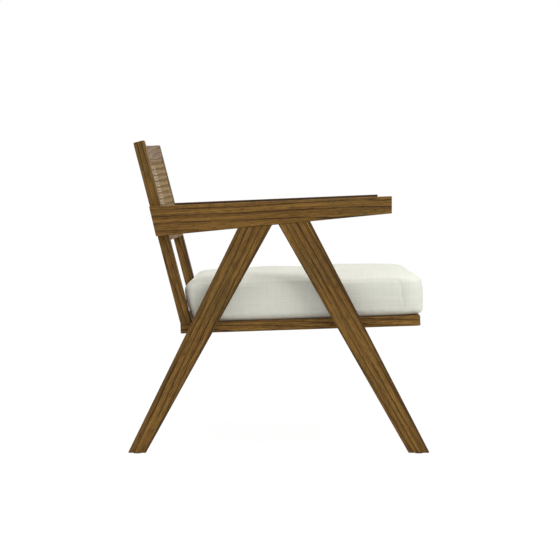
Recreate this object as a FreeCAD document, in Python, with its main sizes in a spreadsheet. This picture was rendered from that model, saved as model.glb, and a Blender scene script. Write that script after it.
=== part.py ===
import FreeCAD, Part
import Sketcher
import math
import os
import re

# An easy chair with a cane back and a loose box cushion, as the separate pieces it is made of.
# Millimetres and degrees. +X is forward, +Y the sitter's left, +Z up. The origin is on the floor,
# below the middle of the space that the chair takes up.

SIZES = {
    # The whole chair: over the arms, to the top of the back, from toe to toe
    "overall_width": 620,
    "overall_height": 760,
    "foot_span": 733.6,
    # Arms and legs are flat boards of one thickness, flush with each other
    "frame_thickness": 30,
    "edge_round": 2,
    "rear_foot_length": 43.6,
    "front_foot_length": 51.3,
    "rear_leg_top_length": 83.4,
    "front_leg_top_length": 76.8,
    "leg_gap": 15.1,
    "leg_gap_setback": 8.7,
    "arm_rear_inset": 0.4,
    "arm_front_reach": 272.5,
    "arm_front_height": 625.1,
    "arm_front_depth": 41.5,
    "arm_top_slope": 2.4,
    "arm_underside_slope": 5.55,
    "arm_end_lean": 13,
    # Back: raked stiles with two bowed rails between them
    "back_rake": 14.4,
    "stile_depth": 26,
    "stile_width": 42,
    "back_rail_height": 52,
    "back_rail_thickness": 22,
    "back_bow": 22,
    "rail_bevel": 1.8,
    "cane_opening_height": 152,
    # Cane webbing, laid in a rebate round the opening and held by splines in grooves
    "cane_rebate_width": 14,
    "cane_rebate_depth": 4.5,
    "cane_thickness": 1.2,
    "cane_pitch": 16,
    "cane_hole_width": 9.6,
    "spline_width": 4.4,
    "spline_groove_depth": 5,
    # Seat frame: its rails slope up to the front
    "seat_rear_setback": 240.2,
    "seat_rear_height": 315.2,
    "seat_slope": 1.9,
    "seat_rail_length": 585.8,
    "seat_rail_height": 25,
    "seat_rail_width": 42,
    "seat_corner_round": 11,
    "cross_rail_thickness": 28,
    # Seat slats, let into the side rails
    "slat_count": 7,
    "slat_width": 50,
    "slat_thickness": 10,
    "slat_recess": 1,
    "slat_bearing": 16,
    "slat_round": 1.5,
    # Joinery
    "tenon_thickness": 8,
    "back_tenon_width": 20,
    "back_tenon_depth": 20,
    "seat_tenon_width": 12,
    "seat_tenon_depth": 14,
    "seat_tenon_cover": 3,
    "leg_dowel_diameter": 10,
    "leg_dowel_depth": 22,
    "stile_dowel_diameter": 8,
    "stile_dowel_depth": 16,
    "stile_dowel_spacing": 14,
    "stile_dowel_offset": 6,
    # Bolts and the threaded inserts that take them
    "bolt_diameter": 6,
    "bolt_head_diameter": 10.5,
    "bolt_head_height": 3.3,
    "bolt_key_width": 4,
    "bolt_key_depth": 2,
    "bolt_engagement": 12,
    "insert_diameter": 10,
    "insert_length": 13,
    "leg_bolt_spacing": 24,
    "leg_bolt_drop": 18.2,
    "arm_bolt_spacing": 24,
    "arm_bolt_lift": 12.3,
    "arm_bolt_setback": 14,
    # Slat screws
    "screw_diameter": 3.5,
    "screw_head_diameter": 7.5,
    "screw_head_height": 2.2,
    "screw_length": 17,
    "screw_point_length": 4,
    # Floor glides
    "glide_diameter": 20,
    "glide_height": 2,
    "glide_pin_diameter": 5,
    "glide_pin_length": 12,
    # Cushion
    "cushion_side_gap": 5,
    "cushion_thickness": 107.5,
    "cushion_overhang": 7,
    "cushion_edge_roll": 96,
    "cushion_draw_in": 5,
    "cushion_front_corner": 35,
    "cushion_rear_corner": 22,
    "cover_thickness": 1.5,
    # Zip in the rear of the cushion
    "zip_end_margin": 23,
    "zip_tape_width": 11,
    "zip_tape_thickness": 0.9,
    "zip_teeth_width": 4,
    "zip_teeth_height": 1.2,
    "zip_rise": 46,
    "slider_length": 10,
    "slider_width": 9,
    "slider_thickness": 3.4,
    "slider_end_gap": 8,
    # Clearances, and the overrun of every cut
    "fit_clearance": 0.1,
    "soft_clearance": 0.3,
    "hole_end_clearance": 0.5,
    "cut_overrun": 5,
}


def underside(x):
    """Height of the arms' underside at the place x: it falls from the front end to the rear."""
    return f"(arm_front_bottom - (arm_front_reach - ({x})) * tan(arm_underside_slope))"


def bow_chord(radius, reach):
    """How far forward a bow of this radius has come at the given reach from the middle plane."""
    return f"(bow_centre - sqrt(({radius}) ^ 2 - ({reach}) ^ 2))"


def leg_bolt_run(foot_middle, top_middle):
    """Place along the side rail where a leg's centre line crosses the line of its bolts."""
    lean = f"({top_middle} - {foot_middle}) / ({underside(top_middle)} - glide_height)"
    start = f"({foot_middle} + seat_rear_setback - leg_bolt_drop * sin(seat_slope)"
    rise = f"(seat_rear_height - leg_bolt_drop * cos(seat_slope) - glide_height)"
    return f"{start} + {lean} * {rise}) / (cos(seat_slope) - {lean} * sin(seat_slope))"


PLACES = {
    # Widths from the middle plane
    "arm_middle": "overall_width / 2 - frame_thickness / 2",
    "arm_inner": "overall_width / 2 - frame_thickness",
    "stile_inner": "arm_inner - stile_width",
    "seat_rail_inner": "arm_inner - seat_rail_width",
    # Arm outline: its rear top corner lies a little inside the line of the stiles' rear faces
    "arm_length": "(arm_front_reach + seat_rear_setback - arm_rear_inset"
                  " + (arm_front_height - seat_rear_height) * tan(back_rake))"
                  " / (1 + tan(arm_top_slope) * tan(back_rake))",
    "arm_front_bottom": "arm_front_height - arm_front_depth",
    "arm_rear_x": "arm_front_reach - arm_length",
    "arm_rear_top": "arm_front_height - arm_length * tan(arm_top_slope)",
    "arm_rear_bottom": "(arm_front_bottom - (arm_length - arm_rear_top * tan(arm_end_lean))"
                       " * tan(arm_underside_slope)) / (1 + tan(arm_end_lean) * tan(arm_underside_slope))",
    "arm_rear_bottom_x": "arm_rear_x + (arm_rear_top - arm_rear_bottom) * tan(arm_end_lean)",
    # Leg outlines
    "rear_leg_top_front": "-leg_gap_setback - leg_gap / 2",
    "rear_leg_top_rear": "rear_leg_top_front - rear_leg_top_length",
    "rear_foot_rear": "-foot_span / 2",
    "rear_foot_front": "rear_foot_rear + rear_foot_length",
    "rear_foot_middle": "rear_foot_rear + rear_foot_length / 2",
    "rear_leg_top_middle": "rear_leg_top_front - rear_leg_top_length / 2",
    "front_leg_top_rear": "-leg_gap_setback + leg_gap / 2",
    "front_leg_top_front": "front_leg_top_rear + front_leg_top_length",
    "front_foot_front": "foot_span / 2",
    "front_foot_rear": "front_foot_front - front_foot_length",
    "front_foot_middle": "front_foot_front - front_foot_length / 2",
    "front_leg_top_middle": "front_leg_top_rear + front_leg_top_length / 2",
    # Stile, in the frame of the back
    "stile_corner_loss": "edge_round * (cos(back_rake) + sin(back_rake) - 1)",
    "stile_length": "(overall_height + stile_corner_loss - seat_rear_height - stile_depth * sin(back_rake))"
                    " / cos(back_rake)",
    "stile_foot_drop": "stile_depth * tan(back_rake - seat_slope)",
    "top_rail_foot": "stile_length - back_rail_height",
    "opening_foot": "top_rail_foot - cane_opening_height",
    "lower_rail_foot": "opening_foot - back_rail_height",
    # Bow of the back rails: the front face is an arc through both stiles' front edges
    "bow_radius": "(stile_inner ^ 2 + back_bow ^ 2) / (2 * back_bow)",
    "bow_centre": "stile_depth - back_bow + bow_radius",
    "rebate_radius": "bow_radius + cane_rebate_depth",
    "groove_radius": "rebate_radius + spline_groove_depth",
    "groove_width": "spline_width + 2 * fit_clearance",
    "cane_edge": "stile_inner + cane_rebate_width",
    "cane_half_width": "cane_edge - groove_width",
    "cane_height": "cane_opening_height + 2 * cane_rebate_width - 2 * groove_width",
    "groove_floor": bow_chord("rebate_radius", "cane_edge") + " - spline_groove_depth",
    # The stiles' bolts, in the frame of the back: they stand a little above the middle of the arm
    "arm_bolt_x": "stile_depth - arm_bolt_setback",
    "arm_middle_slope": "(tan(arm_top_slope) + tan(arm_underside_slope)) / 2",
    "arm_bolt_middle": "((arm_front_height + arm_front_bottom) / 2 - seat_rear_height"
                       " - arm_bolt_x * sin(back_rake) - arm_middle_slope"
                       " * (arm_front_reach + seat_rear_setback - arm_bolt_x * cos(back_rake)))"
                       " / (cos(back_rake) + arm_middle_slope * sin(back_rake)) + arm_bolt_lift",
    # Seat, in the frame of the seat
    "slat_gap": "(seat_rail_length - 2 * cross_rail_thickness - slat_count * slat_width) / (slat_count + 1)",
    "slat_half_length": "seat_rail_inner + slat_bearing",
    "slat_top": "-slat_recess",
    "slat_bottom": "-slat_recess - slat_thickness",
    "rear_leg_bolt_x": leg_bolt_run("rear_foot_middle", "rear_leg_top_middle"),
    "front_leg_bolt_x": leg_bolt_run("front_foot_middle", "front_leg_top_middle"),
    "head_recess": "bolt_head_height + fit_clearance",
    "leg_bolt_length": "seat_rail_width - head_recess + bolt_engagement",
    "arm_bolt_length": "stile_width - head_recess + bolt_engagement",
    "stile_dowel_x": "stile_depth / 2 - stile_dowel_depth * tan(back_rake - seat_slope) / 2",
    "stile_dowel_y": "seat_rail_inner + seat_rail_width / 2 + stile_dowel_offset",
    # Cushion and zip
    "cushion_rear_x": "stile_depth / cos(back_rake - seat_slope) + soft_clearance",
    "cushion_front_x": "seat_rail_length + cushion_overhang",
    "cushion_width": "2 * (arm_inner - cushion_side_gap)",
    "zip_length": "2 * (stile_inner - zip_end_margin)",
    "zip_plane": "stile_depth + soft_clearance",
    "slider_start": "slider_end_gap - zip_length / 2",
    # Reach of the back's bow and of the front toes from the middle of the feet, with their edges
    # eased: the origin lies halfway between the two
    "rear_reach": "seat_rear_setback + stile_length * sin(back_rake)"
                  " + (back_bow + back_rail_thickness - stile_depth) * cos(back_rake)"
                  " - rail_bevel * sin(back_rake)",
    "front_toe_run": "(front_foot_front - front_leg_top_front) / ("
                     + underside("front_leg_top_front") + " - glide_height)",
    "front_reach": "front_foot_front - edge_round * (sqrt(1 + front_toe_run ^ 2) + front_toe_run - 1)",
    "origin_shift": "(rear_reach - front_reach) / 2",
}

# The cushion's profile, from its underside up. Each pair is a share of its thickness, and a share
# of the edge roll by which its outline lies inside its greatest size there.
CUSHION_PROFILE_SHARES = [
    (0.00, 0.090),
    (0.05, 0.030),
    (0.16, 0.004),
    (0.38, 0.000),
    (0.60, 0.003),
    (0.74, 0.022),
    (0.83, 0.070),
    (0.895, 0.170),
    (0.945, 0.350),
    (0.982, 0.650),
    (1.00, 1.000),
]
# The cushion's surfaces are lofted as curves of this degree, so that they stay within its outline
LOFT_DEGREE = 2
# How much a corner of the cushion's outline grows with the inset
CORNER_GROWTH_SHARE = 0.5
# The dowels in each leg's top, as shares of its length from its outer end
LEG_DOWEL_SHARES = (0.24, 0.62)

document = FreeCAD.newDocument("EasyChair")
sizes_sheet = document.addObject("Spreadsheet::Sheet", "Sizes")
places_sheet = document.addObject("Spreadsheet::Sheet", "Places")
SHEET_OF = {name: "Sizes" for name in SIZES}
SHEET_OF.update({name: "Places" for name in PLACES})


def formula(text):
    """The same sum with each named size or place written as a cell of its sheet."""
    def cell(match):
        word = match.group(0)
        return f"{SHEET_OF[word]}.{word}" if word in SHEET_OF else word
    return re.sub(r"[a-z_]+", cell, str(text))


for row, (name, number) in enumerate(SIZES.items(), start=1):
    sizes_sheet.set(f"A{row}", name)
    sizes_sheet.set(f"B{row}", str(number))
    sizes_sheet.setAlias(f"B{row}", name)
document.recompute()
for row, (name, text) in enumerate(PLACES.items(), start=1):
    places_sheet.set(f"A{row}", name)
    places_sheet.set(f"B{row}", "=" + formula(text))
    places_sheet.setAlias(f"B{row}", name)
    document.recompute()


def value(text):
    """A sum of named sizes and places, worked out."""
    return float(sizes_sheet.evalExpression(formula(text)))


def placement_text(x, y, z, axis=(0, 1, 0), angle="0"):
    """The formula of a placement: a point, and a turn about an axis."""
    spin = f"create(<<rotation>>; create(<<vector>>; {axis[0]}; {axis[1]}; {axis[2]}); {formula(angle)})"
    point = f"create(<<vector>>; {formula(x)}; {formula(y)}; {formula(z)})"
    return f"create(<<placement>>; {point}; {spin})"


# The three frames that pieces are drawn in, each with the point and the lean of its placement
FRAMES = {
    "floor": ("origin_shift", "0", "0"),
    "seat": ("origin_shift - seat_rear_setback", "seat_rear_height", "-seat_slope"),
    "back": ("origin_shift - seat_rear_setback", "seat_rear_height", "-back_rake"),
}
SUB_PARTS = []


def keep(piece, label):
    """Take a finished object as a sub-part under the name that its node gets."""
    piece.Label = label
    SUB_PARTS.append(piece)
    return piece


def set_frame(piece, frame, spot=None):
    """Put a piece into one of the chair's frames, at a spot in it where one is given."""
    x, z, lean = FRAMES[frame]
    text = placement_text(x, "0", z, angle=lean)
    piece.setExpression("Placement", f"{text} * {placement_text(*spot)}" if spot else text)


def frame_place(frame):
    """The placement of a frame, as a value."""
    x, z, lean = FRAMES[frame]
    return FreeCAD.Placement(FreeCAD.Vector(value(x), 0, value(z)),
                             FreeCAD.Rotation(FreeCAD.Vector(0, 1, 0), value(lean)))


def new_body(label, frame):
    """An empty body in one of the chair's frames."""
    body = document.addObject("PartDesign::Body", label)
    set_frame(body, frame)
    return keep(body, label)


def plane_sketch(body, name, plane, offset="0"):
    """A sketch on one of the body's own origin planes, moved along the plane's normal."""
    sketch = body.newObject("Sketcher::SketchObject", name)
    support = [item for item in body.Origin.OriginFeatures if item.Role == plane][0]
    sketch.AttachmentSupport = [(support, "")]
    sketch.MapMode = "FlatFace"
    sketch.setExpression(".AttachmentOffset.Base.z", formula(offset))
    return sketch


def fix_point(sketch, geometry, point, across, up, names):
    """Hold a point of a sketch at two named distances from the sketch's origin."""
    for kind, text, name in (("DistanceX", across, names[0]), ("DistanceY", up, names[1])):
        if text is None:
            continue
        index = sketch.addConstraint(Sketcher.Constraint(kind, -1, 1, geometry, point, value(text)))
        sketch.renameConstraint(index, name)
        sketch.setExpression(f"Constraints.{name}", formula(text))


def outline_sketch(body, name, plane, corners, offset="0"):
    """A closed outline of straight lines through the given corners."""
    sketch = plane_sketch(body, name, plane, offset)
    points = [FreeCAD.Vector(value(across), value(up), 0) for across, up in corners]
    for here, there in zip(points, points[1:] + points[:1]):
        sketch.addGeometry(Part.LineSegment(here, there))
    for line in range(len(points)):
        following = (line + 1) % len(points)
        sketch.addConstraint(Sketcher.Constraint("Coincident", line, 2, following, 1))
    for line, (across, up) in enumerate(corners):
        fix_point(sketch, line, 1, across, up, (f"across_{line}", f"up_{line}"))
    return sketch


def bowed_sketch(body, name, front_radius, rear_radius, reach, foot):
    """A bowed strip in plan: two arcs about the bow's centre, cut off square at each side."""
    sketch = plane_sketch(body, name, "XY_Plane", foot)
    centre = FreeCAD.Vector(value("bow_centre"), 0, 0)
    for radius in (front_radius, rear_radius):
        half_angle = math.asin(value(reach) / value(radius))
        circle = Part.Circle(centre, FreeCAD.Vector(0, 0, 1), value(radius))
        sketch.addGeometry(Part.ArcOfCircle(circle, math.pi - half_angle, math.pi + half_angle))
    for end in (1, 2):
        ends = [sketch.getPoint(arc, end) for arc in (0, 1)]
        line = sketch.addGeometry(Part.LineSegment(*ends))
        sketch.addConstraint(Sketcher.Constraint("Coincident", line, 1, 0, end))
        sketch.addConstraint(Sketcher.Constraint("Coincident", line, 2, 1, end))
    for arc, radius in enumerate((front_radius, rear_radius)):
        index = sketch.addConstraint(Sketcher.Constraint("Radius", arc, value(radius)))
        sketch.renameConstraint(index, f"radius_{arc}")
        sketch.setExpression(f"Constraints.radius_{arc}", formula(radius))
        fix_point(sketch, arc, 3, "bow_centre", "0", (f"centre_{arc}", f"middle_{arc}"))
        fix_point(sketch, arc, 1, None, reach, (None, f"left_{arc}"))
        fix_point(sketch, arc, 2, None, f"-({reach})", (None, f"right_{arc}"))
    return sketch


def pad(body, sketch, length, middle=False):
    """Thicken a sketch by a length, to one side or to both."""
    feature = body.newObject("PartDesign::Pad", sketch.Name + "_pad")
    feature.Profile = sketch
    feature.setExpression("Length", formula(length))
    feature.SideType = "Symmetric" if middle else "One side"
    return feature


def pocket(body, sketch, length):
    """Cut a sketch's outline away, over a length on the side that its normal points to."""
    feature = body.newObject("PartDesign::Pocket", sketch.Name + "_pocket")
    feature.Profile = sketch
    feature.setExpression("Length", formula(length))
    feature.Reversed = True
    return feature


def block_cut(body, name, low, high):
    """Cut a box away between its lowest and its highest corner."""
    cut = body.newObject("PartDesign::SubtractiveBox", name)
    for side, start, end in zip(("Length", "Width", "Height"), low, high):
        cut.setExpression(side, formula(f"({end}) - ({start})"))
    cut.setExpression("Placement", placement_text(*low))
    return cut


def bore(body, name, diameter, depth, place):
    """Drill a hole of a diameter and depth from a place of (x, y, z, axis, angle)."""
    hole = body.newObject("PartDesign::SubtractiveCylinder", name)
    hole.setExpression("Radius", formula(f"({diameter}) / 2"))
    hole.setExpression("Height", formula(depth))
    hole.setExpression("Placement", placement_text(*place))
    return hole


def edge_names(feature, skip):
    """The names of a feature's edges, apart from those that a test skips."""
    document.recompute()
    return [f"Edge{n}" for n, edge in enumerate(feature.Shape.Edges, start=1) if not skip(edge)]


def drill_bolt(body, name, side, inner_face, wall):
    """A bolt's hole through a wall, from its place on the inner face outwards, and its head's recess."""
    x, y, z = inner_face
    start = (x, f"{side} * ({y} - cut_overrun)", z, *outward(side))
    bore(body, name, "bolt_diameter + 2 * fit_clearance", f"{wall} + 2 * cut_overrun", start)
    bore(body, f"{name}_recess", "bolt_head_diameter + 2 * fit_clearance",
         "head_recess + cut_overrun", start)


def soften(body, feature, radius, skip=lambda edge: False):
    """Round a feature's edges by a small radius, apart from those that a test skips."""
    rounding = body.newObject("PartDesign::Fillet", feature.Name + "_round")
    rounding.Base = (feature, edge_names(feature, skip))
    rounding.setExpression("Radius", formula(radius))
    return rounding


def bevel(body, feature, size, skip):
    """Plane a feature's edges off at a slant, apart from those that a test skips."""
    slant = body.newObject("PartDesign::Chamfer", feature.Name + "_bevel")
    slant.Base = (feature, edge_names(feature, skip))
    slant.setExpression("Size", formula(size))
    return slant


def on_face(face):
    """A test for the edges that lie round a face."""
    return lambda edge: any(edge.isSame(other) for other in face.Edges)


def highest_face(shape):
    return max(shape.Faces, key=lambda face: face.CenterOfMass.z)


def lowest_face(shape):
    return min(shape.Faces, key=lambda face: face.CenterOfMass.z)


def not_crosswise(edge):
    """True for an edge that doesn't run from one side of the chair to the other."""
    ends = [vertex.Point for vertex in edge.Vertexes]
    return abs(ends[0].y - ends[-1].y) < abs(ends[0].x - ends[-1].x) + abs(ends[0].z - ends[-1].z)


def outward(side):
    """The turn that points a hole or bolt outwards: side is 1 at the left and -1 at the right."""
    return (1, 0, 0), str(-90 * side)


def seat_point(x, z):
    """A point of the seat's frame, as its X and Z in the floor's frame."""
    return (f"(-seat_rear_setback + ({x}) * cos(seat_slope) - ({z}) * sin(seat_slope))",
            f"(seat_rear_height + ({x}) * sin(seat_slope) + ({z}) * cos(seat_slope))")


def back_point(x, z):
    """A point of the back's frame, as its X and Z in the floor's frame."""
    return (f"(-seat_rear_setback + ({x}) * cos(back_rake) - ({z}) * sin(back_rake))",
            f"(seat_rear_height + ({x}) * sin(back_rake) + ({z}) * cos(back_rake))")


SIDES = (("right", -1), ("left", 1))
LEGS = ("rear", "front")


def leg_dowel_places(leg, side):
    """The dowels on top of a leg, each on the arm's underside and square to it."""
    outer = {"rear": "rear_leg_top_rear", "front": "front_leg_top_front"}[leg]
    inward = {"rear": "+", "front": "-"}[leg]
    places = []
    for share in LEG_DOWEL_SHARES:
        x = f"({outer} {inward} {leg}_leg_top_length * {share})"
        places.append((x, f"{side} * arm_middle", underside(x), (0, 1, 0), "-arm_underside_slope"))
    return places


def leg_bolt_runs(leg):
    """The places of a leg's two bolts along the side rail."""
    return [f"({leg}_leg_bolt_x {sign} leg_bolt_spacing / 2)" for sign in "-+"]


def arm_bolt_rises():
    """The heights of a stile's two bolts, in the frame of the back."""
    return [f"(arm_bolt_middle {sign} arm_bolt_spacing / 2)" for sign in "-+"]


def slat_start(number):
    """Rear edge of a slat along the side rail."""
    return f"(cross_rail_thickness + slat_gap * {number + 1} + slat_width * {number})"


def make_arm(name, side):
    """A flat arm with sloping edges, drilled for the legs' dowels and the stile's bolts."""
    body = new_body(f"{name}_arm", "floor")
    corners = [("arm_rear_bottom_x", "arm_rear_bottom"), ("arm_front_reach", "arm_front_bottom"),
               ("arm_front_reach", "arm_front_height"), ("arm_rear_x", "arm_rear_top")]
    sketch = outline_sketch(body, f"{name}_arm_outline", "XZ_Plane", corners, f"{-side} * arm_middle")
    soften(body, pad(body, sketch, "frame_thickness", middle=True), "edge_round")
    for leg in LEGS:
        for n, (x, y, z, axis, angle) in enumerate(leg_dowel_places(leg, side)):
            lower = "cut_overrun"
            start = (f"{x} + {lower} * sin(arm_underside_slope)", y,
                     f"{z} - {lower} * cos(arm_underside_slope)", axis, angle)
            bore(body, f"{name}_{leg}_arm_dowel_hole_{n}", "leg_dowel_diameter + 2 * fit_clearance",
                 "leg_dowel_depth + hole_end_clearance + cut_overrun", start)
    for n, rise in enumerate(arm_bolt_rises()):
        x, z = back_point("arm_bolt_x", rise)
        start = (x, f"{side} * (arm_inner - cut_overrun)", z, *outward(side))
        bore(body, f"{name}_arm_insert_hole_{n}", "insert_diameter + 2 * fit_clearance",
             "insert_length + hole_end_clearance + cut_overrun", start)
    return body


def make_leg(name, side, leg):
    """A tapered leg, drilled on top, at the seat rail and under its foot."""
    body = new_body(f"{name}_{leg}_leg", "floor")
    top_rear, top_front = f"{leg}_leg_top_rear", f"{leg}_leg_top_front"
    corners = [(f"{leg}_foot_rear", "glide_height"), (f"{leg}_foot_front", "glide_height"),
               (top_front, underside(top_front)), (top_rear, underside(top_rear))]
    sketch = outline_sketch(body, f"{name}_{leg}_leg_outline", "XZ_Plane", corners,
                            f"{-side} * arm_middle")
    board = pad(body, sketch, "frame_thickness", middle=True)
    document.recompute()
    soften(body, board, "edge_round", skip=on_face(highest_face(board.Shape)))
    for n, (x, y, z, axis, angle) in enumerate(leg_dowel_places(leg, side)):
        depth = "(leg_dowel_depth + hole_end_clearance)"
        start = (f"{x} + {depth} * sin(arm_underside_slope)", y,
                 f"{z} - {depth} * cos(arm_underside_slope)", axis, angle)
        bore(body, f"{name}_{leg}_leg_dowel_hole_{n}", "leg_dowel_diameter + 2 * fit_clearance",
             f"{depth} + cut_overrun", start)
    for n, run in enumerate(leg_bolt_runs(leg)):
        x, z = seat_point(run, "-leg_bolt_drop")
        start = (x, f"{side} * (arm_inner - cut_overrun)", z, *outward(side))
        bore(body, f"{name}_{leg}_leg_insert_hole_{n}", "insert_diameter + 2 * fit_clearance",
             "insert_length + hole_end_clearance + cut_overrun", start)
    bore(body, f"{name}_{leg}_glide_pin_hole", "glide_pin_diameter + 2 * fit_clearance",
         "glide_pin_length + hole_end_clearance + cut_overrun",
         (f"{leg}_foot_middle", f"{side} * arm_middle", "glide_height - cut_overrun"))
    return body


def bowed_cut(body, name, front_radius, rear_radius, reach, foot, height):
    """Cut a bowed strip away, over a height that starts at its foot."""
    return pocket(body, bowed_sketch(body, name, front_radius, rear_radius, reach, foot), height)


def cut_cane_rebate(body, name):
    """The shallow rebate round the cane opening, with the bow of the rails."""
    bowed_cut(body, f"{name}_cane_rebate", "bow_radius - cut_overrun", "rebate_radius", "cane_edge",
              "opening_foot - cane_rebate_width", "cane_opening_height + 2 * cane_rebate_width")


def cut_cross_groove(body, name, foot):
    """One of the two spline grooves that run across the back."""
    bowed_cut(body, f"{name}_spline_groove", "rebate_radius - cut_overrun", "groove_radius",
              "cane_edge", foot, "groove_width")


LOWER_GROOVE_FOOT = "opening_foot - cane_rebate_width"
UPPER_GROOVE_FOOT = "(top_rail_foot + cane_rebate_width - groove_width)"


def make_stile(name, side):
    """A raked stile: foot cut to the side rail, rebate, grooves, mortises and bolt holes."""
    body = new_body(f"{name}_back_stile", "back")
    corners = [("0", "0"), ("stile_depth", "-stile_foot_drop"), ("stile_depth", "stile_length"),
               ("0", "stile_length")]
    sketch = outline_sketch(body, f"{name}_stile_outline", "XZ_Plane", corners,
                            f"{-side} * (stile_inner + stile_width / 2)")
    post = pad(body, sketch, "stile_width", middle=True)
    document.recompute()
    soften(body, post, "edge_round", skip=on_face(lowest_face(post.Shape)))
    cut_cane_rebate(body, f"{name}_stile")
    cut_cross_groove(body, f"{name}_stile_lower", LOWER_GROOVE_FOOT)
    cut_cross_groove(body, f"{name}_stile_upper", UPPER_GROOVE_FOOT)
    near, far = sorted((f"{side} * cane_half_width", f"{side} * cane_edge"), key=value)
    block_cut(body, f"{name}_side_groove", ("groove_floor", near, LOWER_GROOVE_FOOT),
              ("stile_depth + cut_overrun", far, "top_rail_foot + cane_rebate_width"))
    for rail in BACK_RAILS:
        cut_back_mortise(body, f"{name}_stile_{rail}_mortise", side, rail)
    for n, rise in enumerate(arm_bolt_rises()):
        drill_bolt(body, f"{name}_stile_bolt_hole_{n}", side, ("arm_bolt_x", "stile_inner", rise),
                   "stile_width")
    for n, (x, y) in enumerate(stile_dowel_points(side)):
        base_x = f"(({x}) * cos(back_rake - seat_slope) - cut_overrun * sin(back_rake - seat_slope))"
        base_z = f"(-({x}) * sin(back_rake - seat_slope) - cut_overrun * cos(back_rake - seat_slope))"
        bore(body, f"{name}_stile_dowel_hole_{n}", "stile_dowel_diameter + 2 * fit_clearance",
             "stile_dowel_depth + hole_end_clearance + cut_overrun",
             (base_x, y, base_z, (0, 1, 0), "back_rake - seat_slope"))
    return body


def stile_dowel_points(side):
    """The two dowels under a stile, as places in the frame of the seat."""
    return [("stile_dowel_x", f"{side} * (stile_dowel_y {sign} stile_dowel_spacing / 2)") for sign in "-+"]


# Each back rail's foot, and the foot of its mortise, which keeps clear of the spline groove
BACK_RAILS = {
    "top": ("top_rail_foot", "(top_rail_foot + cane_rebate_width + 2 * edge_round)"),
    "lower": ("lower_rail_foot", "(opening_foot - cane_rebate_width - 2 * edge_round - back_tenon_width)"),
}


def back_mortise(side, rail, clearance):
    """The lowest and highest corner of a back rail's loose tenon or its mortise."""
    foot = BACK_RAILS[rail][1]
    middle = "((stile_depth + groove_floor) / 2 - back_rail_thickness / 2 + tenon_thickness / 2)"
    reach = f"(back_tenon_depth + ({clearance}) * 4)"
    ends = sorted((f"{side} * stile_inner - {reach}", f"{side} * stile_inner + {reach}"), key=value)
    low = (f"{middle} - tenon_thickness / 2 - ({clearance})", ends[0], f"{foot} - ({clearance})")
    high = (f"{middle} + tenon_thickness / 2 + ({clearance})", ends[1],
            f"{foot} + back_tenon_width + ({clearance})")
    return low, high


def cut_back_mortise(body, name, side, rail):
    block_cut(body, name, *back_mortise(side, rail, "fit_clearance"))


def make_back_rail(rail, groove_foot):
    """A bowed rail, sawn off at the stiles, with the rebate and the groove for the cane."""
    body = new_body(f"back_{rail}_rail", "back")
    foot = BACK_RAILS[rail][0]
    sketch = bowed_sketch(body, f"back_{rail}_rail_plan", "bow_radius", "bow_radius + back_rail_thickness",
                          "stile_inner + cut_overrun", foot)
    bevel(body, pad(body, sketch, "back_rail_height"), "rail_bevel", skip=not_crosswise)
    for name, side in SIDES:
        near, far = sorted((f"{side} * stile_inner", f"{side} * (stile_inner + 2 * cut_overrun)"), key=value)
        block_cut(body, f"back_{rail}_rail_{name}_end",
                  ("-back_rail_thickness - cut_overrun", near, f"{foot} - cut_overrun"),
                  ("stile_depth + cut_overrun", far, f"{foot} + back_rail_height + cut_overrun"))
    cut_cane_rebate(body, f"back_{rail}_rail")
    cut_cross_groove(body, f"back_{rail}_rail", groove_foot)
    for name, side in SIDES:
        cut_back_mortise(body, f"{rail}_rail_{name}_mortise", side, rail)
    return body


def make_side_rail(name, side):
    """A side rail of the seat, rounded at its front corner and let in for the slats."""
    body = new_body(f"seat_side_rail_{name}", "seat")
    inner, outer = f"{side} * seat_rail_inner", f"{side} * arm_inner"
    corners = [("0", inner), ("seat_rail_length", inner), ("seat_rail_length", outer), ("0", outer)]
    sketch = outline_sketch(body, f"side_rail_{name}_plan", "XY_Plane", corners, "-seat_rail_height")
    plank = pad(body, sketch, "seat_rail_height")
    document.recompute()
    front = value("seat_rail_length - edge_round")
    outside = value("arm_inner - edge_round")

    def other_corner(edge):
        point = edge.CenterOfMass
        return point.x < front or side * point.y < outside

    corner = soften(body, plank, "seat_corner_round", skip=other_corner)
    soften(body, corner, "edge_round")
    for number in range(int(value("slat_count"))):
        start = slat_start(number)
        ends = sorted((f"{side} * (seat_rail_inner - cut_overrun)",
                       f"{side} * (slat_half_length + 2 * fit_clearance)"), key=value)
        block_cut(body, f"side_rail_{name}_slat_housing_{number}",
                  (f"{start} - fit_clearance", ends[0], "slat_bottom"),
                  (f"{start} + slat_width + fit_clearance", ends[1], "cut_overrun"))
        for x, y in slat_screw_points(number, side):
            bore(body, f"side_rail_{name}_screw_hole_{number}", "screw_diameter + 2 * fit_clearance",
                 "screw_length + hole_end_clearance", (x, y, "slat_top - screw_length - hole_end_clearance"))
    for leg in LEGS:
        for n, run in enumerate(leg_bolt_runs(leg)):
            drill_bolt(body, f"side_rail_{name}_{leg}_bolt_hole_{n}", side,
                       (run, "seat_rail_inner", "-leg_bolt_drop"), "seat_rail_width")
    for rail in CROSS_RAILS:
        block_cut(body, f"side_rail_{name}_{rail}_mortise", *seat_mortise(side, rail, "fit_clearance"))
    for n, (x, y) in enumerate(stile_dowel_points(side)):
        depth = "(stile_dowel_depth + hole_end_clearance)"
        bore(body, f"side_rail_{name}_dowel_hole_{n}", "stile_dowel_diameter + 2 * fit_clearance",
             f"{depth} + cut_overrun", (x, y, f"-{depth}"))
    return body


# Rear face of each cross rail, in the frame of the seat
CROSS_RAILS = {"rear": "0", "front": "(seat_rail_length - cross_rail_thickness)"}


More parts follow.
